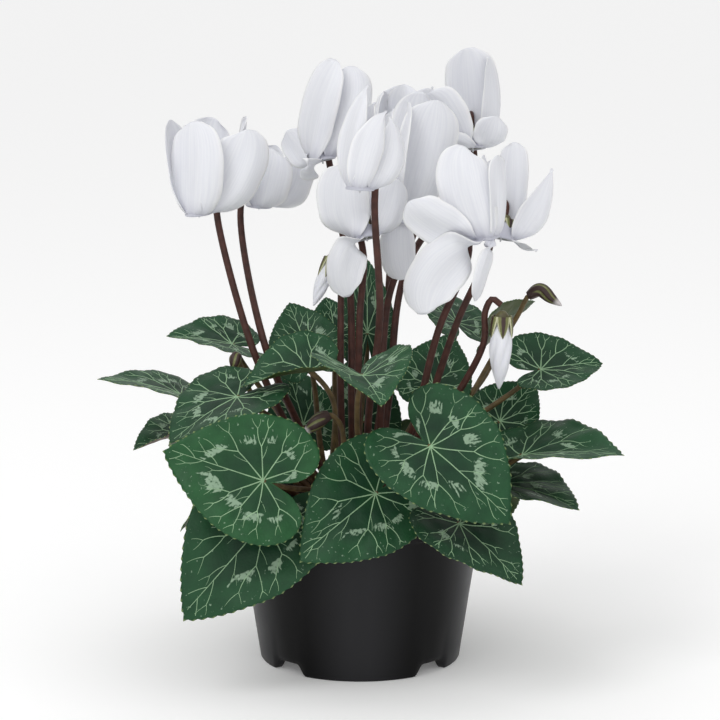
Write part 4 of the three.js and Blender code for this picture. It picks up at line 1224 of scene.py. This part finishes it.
buds = [
    {
        "root": (-7, 1), "way": [(-9, 0, 120), (-9, 5, 172)],
        "hook": [(-9, 8, 187), (-11, 8, 193.5), (-14, 7, 190)],
        "body": [(-14.4, 6.6, 187.6), (-16, 5, 183), (-18.6, 4, 176), (-21.8, 2, 168)], "width": 3.6,
    },
    {
        "root": (14, -5), "way": [(34, -15, 110), (56.5, -29, 155.1)],
        "hook": [(57.1, -32, 170.8), (60.2, -33, 176.5), (64.1, -34, 173.9)],
        "body": [(64.6, -34, 166.5), (64.2, -34, 156.8), (63.9, -34, 146.2), (63.5, -34, 135.1)],
        "width": 5.2,
    },
]

smallBuds = [
    {
        "root": (17, 7),
        "way": [(46, 18, 110), (67, 29.5, 144), (76, 27, 160), (80.5, 25, 169.2), (85.9, 24, 172.2)],
        "tip": (96.3, 21, 165), "width": 3.4,
    },
    {
        "root": (-5, -15), "way": [(-7, -32, 100), (-9, -37, 119), (-14, -39, 124), (-18, -40, 122)],
        "tip": (-26, -43, 116), "width": 3.6,
    },
    {
        "root": (-17, -3), "way": [(-43, -3, 112), (-55, -4, 136), (-57, -6, 145), (-58, -9, 145)],
        "tip": (-58.5, -11, 138), "width": 3,
    },
]


def makeLeafStalks():
    shape = stalkShape
    paths = []
    for leaf in leaves:
        path = leafStalkPath(leaf)
        s = np.linspace(0, 1, len(path))
        thick = shape["thickFoot"] - shape["taper"] * s + shape["flare"] * smooth((s - 0.9) * 10)
        paths.append((path, shape["radius"] * thick))
    for bud in smallBuds:
        x, y = bud["root"]
        seat = crownHeight(math.hypot(x, y)) - shape["sunk"]
        path = throughPoints([[x, y, seat]] + bud["way"], 36)
        paths.append((path, shape["radius"] * np.linspace(0.95, 0.8, 36)))
    curve = curveThrough("leaf_stalks", paths)
    values = {"Sides": shape["sides"], "Look": materials["leafStalk"]}
    return runTree(curve, tubes, values, "leaf_stalks")


tuberNode = "tuber_with_leaf_stalks"
keepPiece(makeTuber(tuberShape), "tuber_and_leaf_stalks", tuberNode)
keepPiece(makeLeafStalks(), "tuber_and_leaf_stalks", tuberNode)
for index, bud in enumerate(smallBuds):
    end, tip = np.array(bud["way"][-1], float), np.array(bud["tip"], float)
    line = [bud["way"][-2], bud["way"][-1], list((end + tip) / 2), bud["tip"]]
    piece = budRoll(line, bud["width"], "small_bud_%02d" % (index + 1), ["sepal"], budShape["smallTwist"])
    keepPiece(piece, "tuber_and_leaf_stalks", tuberNode)
print("tuber and leaf stalks made", flush=True)

# Flowers

# Start and twist are in degrees, the rest in millimetres or in shares of the petal's length and width.
petalShape = {
    "rows": 34, "columns": 15, "thickness": 0.55, "mouthRadius": 5.4, "sunk": 1, "start": -15, "roll": 5,
    "reach": 0.2, "twist": 25, "turned": 0.5, "cupping": 0.2, "base": 0.22, "widest": 0.58, "tip": 0.3,
    "point": 0.1, "sway": 0.14, "pleat": 0.34, "pleats": 9, "ruffle": 0.9, "ruffleTurns": 5.2,
    "ripple": 0.25, "rippleTurns": 7, "curl": (-0.5, 1.0), "curlStart": 0.6, "cornerPull": 0.9,
    "edgeWave": 0.012, "edgeTurns": 23, "thinSides": 0.55, "thinTip": 0.4,
}
# The flower stalk with its hook, and the tube and calyx at its end, in millimetres.
hookShape = {
    "radius": 1.7, "thickFoot": 1.08, "taper": 0.22, "depth": 5, "distance": 8.6, "drop": 8, "rise": 9,
    "top": 17, "tubeRadius": 4.6, "tubeHeight": 7.6, "tubeSides": 40, "calyxRadius": 3.6,
}


def bloomFrame(bloom):
    up = unit(bloom["up"])
    right = np.array([1.0, 0, 0])
    right = unit(right - up * right.dot(up))
    back = np.cross(up, right)
    around = lambda angle: right * math.cos(angle) + back * math.sin(angle)
    return np.array(bloom["mouth"], float), up, around


def petalWidth(s, pointed):
    shape = petalShape
    s = np.asarray(s, float)
    base, widest = shape["base"], shape["widest"]
    rising = base + (1 - base) * np.sin(math.pi / 2 * np.clip(s / widest, 0, 1))
    past = np.clip((s - widest) / (1 - widest), 0, 1)
    if pointed:
        falling = np.maximum(shape["point"], 1 - past ** 1.4)
    else:
        falling = np.maximum(shape["tip"], np.sqrt(1 - past ** 3))
    return np.where(s < widest, rising, falling)


def petalLine(bloom, petal, s):
    shape = petalShape
    origin, up, around = bloomFrame(bloom)
    out = around(math.radians(petal["from"]))
    middle, tip = np.array(petal["middle"], float), np.array(petal["tip"], float)
    root = origin + out * (shape["mouthRadius"] - shape["sunk"])
    slope = math.radians(shape["start"])
    second = root + (out * math.cos(slope) + up * math.sin(slope)) * shape["roll"]
    third = middle + (tip - root) * shape["reach"]
    s = s[:, None]
    points = root * (1 - s) ** 3 + 3 * second * s * (1 - s) ** 2 + 3 * third * s ** 2 * (1 - s) + tip * s ** 3
    ways = (second - root) * (1 - s) ** 2 + 2 * (third - second) * s * (1 - s) + (tip - third) * s ** 2
    return points, ways / np.linalg.norm(ways, axis=1)[:, None], out, up


def petalSheet(bloom, petal, rng):
    shape = petalShape
    rows, columns = shape["rows"], shape["columns"]
    s = np.linspace(0, 1, rows) ** 0.9
    path, tangent, out, up = petalLine(bloom, petal, s)
    if "facing" in petal:
        facing = unit(petal["facing"])
    else:
        facing = bloomFrame(bloom)[2](math.radians(petal["from"] - shape["twist"]))
    width = petal["width"] * petalWidth(s, "pointed" in petal)
    t = np.linspace(-1, 1, columns)
    phase, phase2 = rng.uniform(0, 6.28, 2)
    curl = rng.uniform(*shape["curl"])
    front, back = [], []
    for k in range(rows):
        outer = unit(out * tangent[k].dot(up) - up * tangent[k].dot(out))
        turned = smooth(s[k] / shape["turned"])
        normal = outer * (1 - turned) + facing * turned
        normal = unit(normal - tangent[k] * normal.dot(tangent[k]))
        cross = np.cross(tangent[k], normal)
        ruffle = shape["ruffle"] * s[k] * t ** 3 * math.sin(shape["ruffleTurns"] * s[k] + phase)
        ruffle = ruffle + shape["ripple"] * np.sin(shape["rippleTurns"] * s[k] + 3 * t + phase2) * t ** 2
        pleat = shape["pleat"] * np.cos(shape["pleats"] * t + phase2) * (1 - s[k]) ** 2 * smooth(6 * s[k])
        sway = shape["sway"] * width[k] * np.sin(math.pi * t) * math.sin(math.pi * s[k])
        roll = curl * smooth((s[k] - shape["curlStart"]) / 0.4) * t * t
        dish = -shape["cupping"] * width[k] * t * t + ruffle + roll + pleat + sway
        pulled = shape["cornerPull"] * smooth((s[k] - 0.85) / 0.15) * np.abs(t) ** 1.5
        edge = 1 + shape["edgeWave"] * math.sin(shape["edgeTurns"] * s[k] + phase) * np.abs(t)
        middle = path[k] + np.outer(t * width[k] * edge, cross) + np.outer(dish, normal)
        middle = middle - np.outer(pulled, tangent[k])
        thick = 0.5 * shape["thickness"] * (1 - shape["thinSides"] * t ** 4) * (1 - shape["thinTip"] * s[k])
        front.append(middle + np.outer(thick, normal))
        back.append(middle - np.outer(thick, normal))
    return np.vstack(front), np.vstack(back), s, t


def sheetFaces(rows, columns, shift):
    n = rows * columns
    faces = []
    for r in range(rows - 1):
        for c in range(columns - 1):
            a = shift + r * columns + c
            faces.append((a, a + 1, a + 1 + columns, a + columns))
            faces.append((a + n, a + n + columns, a + n + 1 + columns, a + n + 1))
    border = [shift + c for c in range(columns)]
    border += [shift + r * columns + columns - 1 for r in range(1, rows)]
    border += [shift + (rows - 1) * columns + c for c in range(columns - 2, -1, -1)]
    border += [shift + r * columns for r in range(rows - 2, 0, -1)]
    for k, a in enumerate(border):
        b = border[(k + 1) % len(border)]
        faces.append((b, a, a + n, b + n))
    return faces


def turnedPart(profile, sides, origin, up, around):
    angles = np.linspace(0, 2 * math.pi, sides, endpoint=False)
    points, faces = [], []
    for radius, height in profile:
        points += [origin + up * height + radius * around(a) for a in angles]
    rows = len(profile)
    for row in range(rows):
        after = (row + 1) % rows
        for k in range(sides):
            n = (k + 1) % sides
            faces.append((row * sides + k, row * sides + n, after * sides + n, after * sides + k))
    return points, faces


def makeBloom(bloom, name, rng):
    shape = petalShape
    rows, columns = shape["rows"], shape["columns"]
    points, faces, along, uv, throatTintAndShade, rim = [], [], [], [], [], []
    for petal in bloom["petals"]:
        front, back, s, t = petalSheet(bloom, petal, rng)
        faces += sheetFaces(rows, columns, len(points))
        points += list(front) + list(back)
        along += list(np.tile(np.repeat(s, columns), 2))
        throatTintAndShade += [0.0] * (2 * rows * columns)
        # The rim value marks the petals' side edges for a painted highlight.
        rim += list(np.tile((np.abs(t)[None, :] ** 10 * smooth(4 * s)[:, None]).ravel(), 2))
        shift = rng.uniform(0, 9)
        uv += list(np.tile(np.stack([np.tile(t / 2, rows) + shift, np.repeat(s, columns)], axis=1), (2, 1)))
    origin, up, around = bloomFrame(bloom)
    r, h = hookShape["tubeRadius"], hookShape["tubeHeight"]
    mouth = shape["mouthRadius"]
    # The tube, up its inner wall and down the outer: the inside is dark olive, partly its own colour and
    # partly painted shade of the recess, the lip lighter, the outside white.
    inner = [(0.3, h - 2), (r - 1.2, h - 2.2), (r - 1, 3), (mouth - 1.6, 0.2)]
    lip = [(mouth - 1.1, -0.7)]
    outer = [(mouth + 0.9, -0.75), (mouth + 1.2, -0.2), (r + 0.3, 3), (r, h - 1.2), (r - 0.9, h - 0.1),
             (0.3, h)]
    sides = hookShape["tubeSides"]
    tubePoints, tubeFaces = turnedPart(inner + lip + outer, sides, origin, up, around)
    base = len(points)
    faces += [tuple(base + q for q in face) for face in tubeFaces]
    points += tubePoints
    along += [0.1] * len(tubePoints)
    for part, dark in ((inner, 0.9), (lip, 0.35), (outer, 0.0)):
        throatTintAndShade += [dark] * (len(part) * sides)
    uv += [(0.0, 0.1)] * len(tubePoints)
    style = [(0.02, h - 2.3), (0.5, h - 2.3), (0.45, -1.6), (0.3, -2.1), (0.02, -2.2)]
    stylePoints, styleFaces = turnedPart(style[::-1], 12, origin, up, around)
    base = len(points)
    faces += [tuple(base + q for q in face) for face in styleFaces]
    points += stylePoints
    along += [0.6] * len(stylePoints)
    throatTintAndShade += [0.2] * len(stylePoints)
    uv += [(0.3, 0.6)] * len(stylePoints)
    piece = meshObject(name, np.array(points) * mm, faces, ["petal"])
    pointValues(piece, "along", along)
    pointValues(piece, "throatTintAndShade", throatTintAndShade)
    pointValues(piece, "rim", rim + [0.0] * (len(points) - len(rim)))
    cornerUv(piece, "petal", uv)
    return piece


def flowerStalkPath(bloom):
    shape = hookShape
    origin, up, around = bloomFrame(bloom)
    side = around(math.radians(bloom["side"]))
    beside = lambda out, rise: origin + side * out + up * rise
    x, y = bloom["root"]
    seat = crownHeight(math.hypot(x, y)) - shape["depth"]
    distance, rise, top = shape["distance"], shape["rise"], shape["top"]
    low, high = beside(distance, -shape["drop"]), beside(distance, rise)
    straight = throughPoints([[x, y, seat]] + bloom["way"] + [low, high], 50)
    bent = throughPoints([high, beside(0.8 * distance, top - 2), beside(0.45 * distance, top),
                          beside(0.1 * distance, top - 2), beside(0, shape["tubeHeight"] + 1)], 26)
    return np.vstack([straight, bent[1:]])


sepalShape = {
    "count": 5, "turned": 0.4, "rows": 9, "columns": 5, "wide": 0.72, "proud": 1.03, "belly": 0.16,
    "stand": 0.35, "cup": 0.3, "halfThickness": 0.22,
}


def sepals(origin, up, around, height, radius, reach):
    shape = sepalShape
    rows, columns = shape["rows"], shape["columns"]
    points, faces, across = [], [], []
    for k in range(shape["count"]):
        angle = 2 * math.pi * k / shape["count"] + shape["turned"]
        out, aside = around(angle), around(angle + math.pi / 2)
        front, back = [], []
        for i in range(rows):
            s = i / (rows - 1)
            wide = radius * shape["wide"] * (1 - s ** 2) + 0.08
            swell = radius * (shape["proud"] + shape["belly"] * math.sin(2.6 * s)) + shape["stand"]
            for t in np.linspace(-1, 1, columns):
                bow = swell - shape["cup"] * wide * t * t
                middle = origin + up * (height - reach * s) + aside * wide * t + out * bow
                front.append(middle + out * shape["halfThickness"])
                back.append(middle - out * shape["halfThickness"])
        shift = len(points)
        faces += [face[::-1] for face in sheetFaces(rows, columns, shift)]
        points += front + back
        across += list(np.tile(np.abs(np.linspace(-1, 1, columns)), 2 * rows))
    return points, faces, across


def calyxObject(name, points, faces, hood):
    more, moreFaces, across = hood
    base = len(points)
    faces = faces + [tuple(base + q for q in face) for face in moreFaces]
    piece = meshObject(name, np.array(points + more) * mm, faces, ["sepal"])
    pointValues(piece, "across", [0.35] * base + across)
    return piece


def makeCalyx(bloom, name):
    origin, up, around = bloomFrame(bloom)
    h, r = hookShape["tubeHeight"], hookShape["calyxRadius"]
    profile = [(0.02, h + 3.4), (1.9, h + 3.2), (2.6, h + 2.4), (r, h + 0.9), (r * 0.97, h + 0.35),
               (0.02, h + 0.3)]
    points, faces = turnedPart(profile[::-1], 30, origin, up, around)
    return calyxObject(name, points, faces, sepals(origin, up, around, h + 1.6, r, 5.2))


def makeStalk(path, radius, name):
    s = np.linspace(0, 1, len(path))
    curve = curveThrough(name, [(path, radius * (hookShape["thickFoot"] - hookShape["taper"] * s))])
    values = {"Sides": stalkShape["flowerSides"], "Look": materials["flowerStalk"]}
    return runTree(curve, tubes, values, name)


for index, bloom in enumerate(blooms):
    name = "bloom_%02d" % (index + 1)
    corolla = makeBloom(bloom, name + "_corolla", np.random.default_rng(300 + index))
    keepPiece(corolla, "petal", name + "_petals")
    stem = makeStalk(flowerStalkPath(bloom), hookShape["radius"], name + "_stem")
    keepPiece(stem, "flower_stalk", name + "_stalk")
    keepPiece(makeCalyx(bloom, name + "_calyx"), "flower_stalk", name + "_stalk")
print("flowers made", flush=True)


def budStalkPath(bud):
    x, y = bud["root"]
    seat = crownHeight(math.hypot(x, y)) - hookShape["depth"]
    return throughPoints([[x, y, seat]] + bud["way"] + bud["hook"], 70)


def makeBudCalyx(bud, name):
    start = np.array(bud["body"][0], float)
    up = unit(start - np.array(bud["body"][1], float))
    right = unit(np.cross(up, [0, 1, 0]))
    back = np.cross(up, right)
    around = lambda angle: right * math.cos(angle) + back * math.sin(angle)
    width = bud["width"]
    profile = [(0.02, 5.0), (1.5, 4.6), (width * 0.6, 2.6), (width * 0.72, 0.5), (0.02, 0.35)]
    points, faces = turnedPart(profile[::-1], 30, start, up, around)
    return calyxObject(name, points, faces, sepals(start, up, around, 2.4, width * 0.78, 10))


for index, bud in enumerate(buds):
    name = "bud_%02d" % (index + 1)
    roll = budRoll(bud["body"], bud["width"], name + "_roll", ["petal"], budShape["bigTwist"])
    keepPiece(roll, "petal", name + "_petals")
    stem = makeStalk(budStalkPath(bud), hookShape["radius"], name + "_stem")
    keepPiece(stem, "flower_stalk", name + "_stalk")
    keepPiece(makeBudCalyx(bud, name + "_calyx"), "flower_stalk", name + "_stalk")
print("buds made", flush=True)

# Floor and light

studio = {"world": 0.97, "sides": 0.25}
lights = [
    # name, place, target, size, energy
    ("key", (-0.7, -0.8, 1.3), (0, 0, 0.15), (0.7, 0.7), 5.6),
    ("fill", (1.1, -0.5, 0.8), (0, 0, 0.15), (0.6, 0.9), 0.8),
    ("front", (0.0, -1.7, 0.7), (0, 0, 0.1), (0.9, 0.5), 0.7),
]


def makeFloor():
    mesh = bpy.data.meshes.new("floor")
    mesh.from_pydata([(-20, -4, 0), (20, -4, 0), (20, 40, 0), (-20, 40, 0)], [], [(0, 1, 2, 3)])
    floor = addObject("floor", mesh)
    material, _, shader = newMaterial("floorWhite")
    shader.inputs["Base Color"].default_value = (0.93, 0.93, 0.93, 1)
    shader.inputs["Roughness"].default_value = 0.9
    shader.inputs["Specular IOR Level"].default_value = 0.0
    shader.inputs["Emission Color"].default_value = (1, 1, 1, 1)
    shader.inputs["Emission Strength"].default_value = 0.12
    mesh.materials.append(material)


# The studio is bright all round and darker at its sides, which shapes the petals and the pot.
def makeWorld(settings):
    world = bpy.data.worlds.new("studio")
    bpy.context.scene.world = world
    world.use_nodes = True
    tree = world.node_tree
    background = tree.nodes["Background"]
    coords = tree.nodes.new("ShaderNodeTexCoord")
    apart = tree.nodes.new("ShaderNodeSeparateXYZ")
    tree.links.new(coords.outputs["Generated"], apart.inputs["Vector"])
    aside = mathNode(tree, "ABSOLUTE", apart.outputs["X"])
    dim = smoothStep(tree, aside, 0.45, 0.95)
    strength = mathNode(tree, "MULTIPLY_ADD", dim, settings["sides"] - settings["world"], settings["world"])
    background.inputs["Color"].default_value = (1.0, 1.0, 1.0, 1)
    tree.links.new(strength, background.inputs["Strength"])


def makeLight(name, place, target, size, energy):
    data = bpy.data.lights.new(name, "AREA")
    data.shape = "RECTANGLE"
    data.size, data.size_y = size
    data.energy = energy
    light = addObject(name, data)
    light.location = place
    light.rotation_euler = (Vector(target) - Vector(place)).to_track_quat("-Z", "Y").to_euler()


makeFloor()
makeWorld(studio)
for light in lights:
    makeLight(*light)
bpy.context.scene.view_settings.view_transform = "Standard"
print("studio made", flush=True)
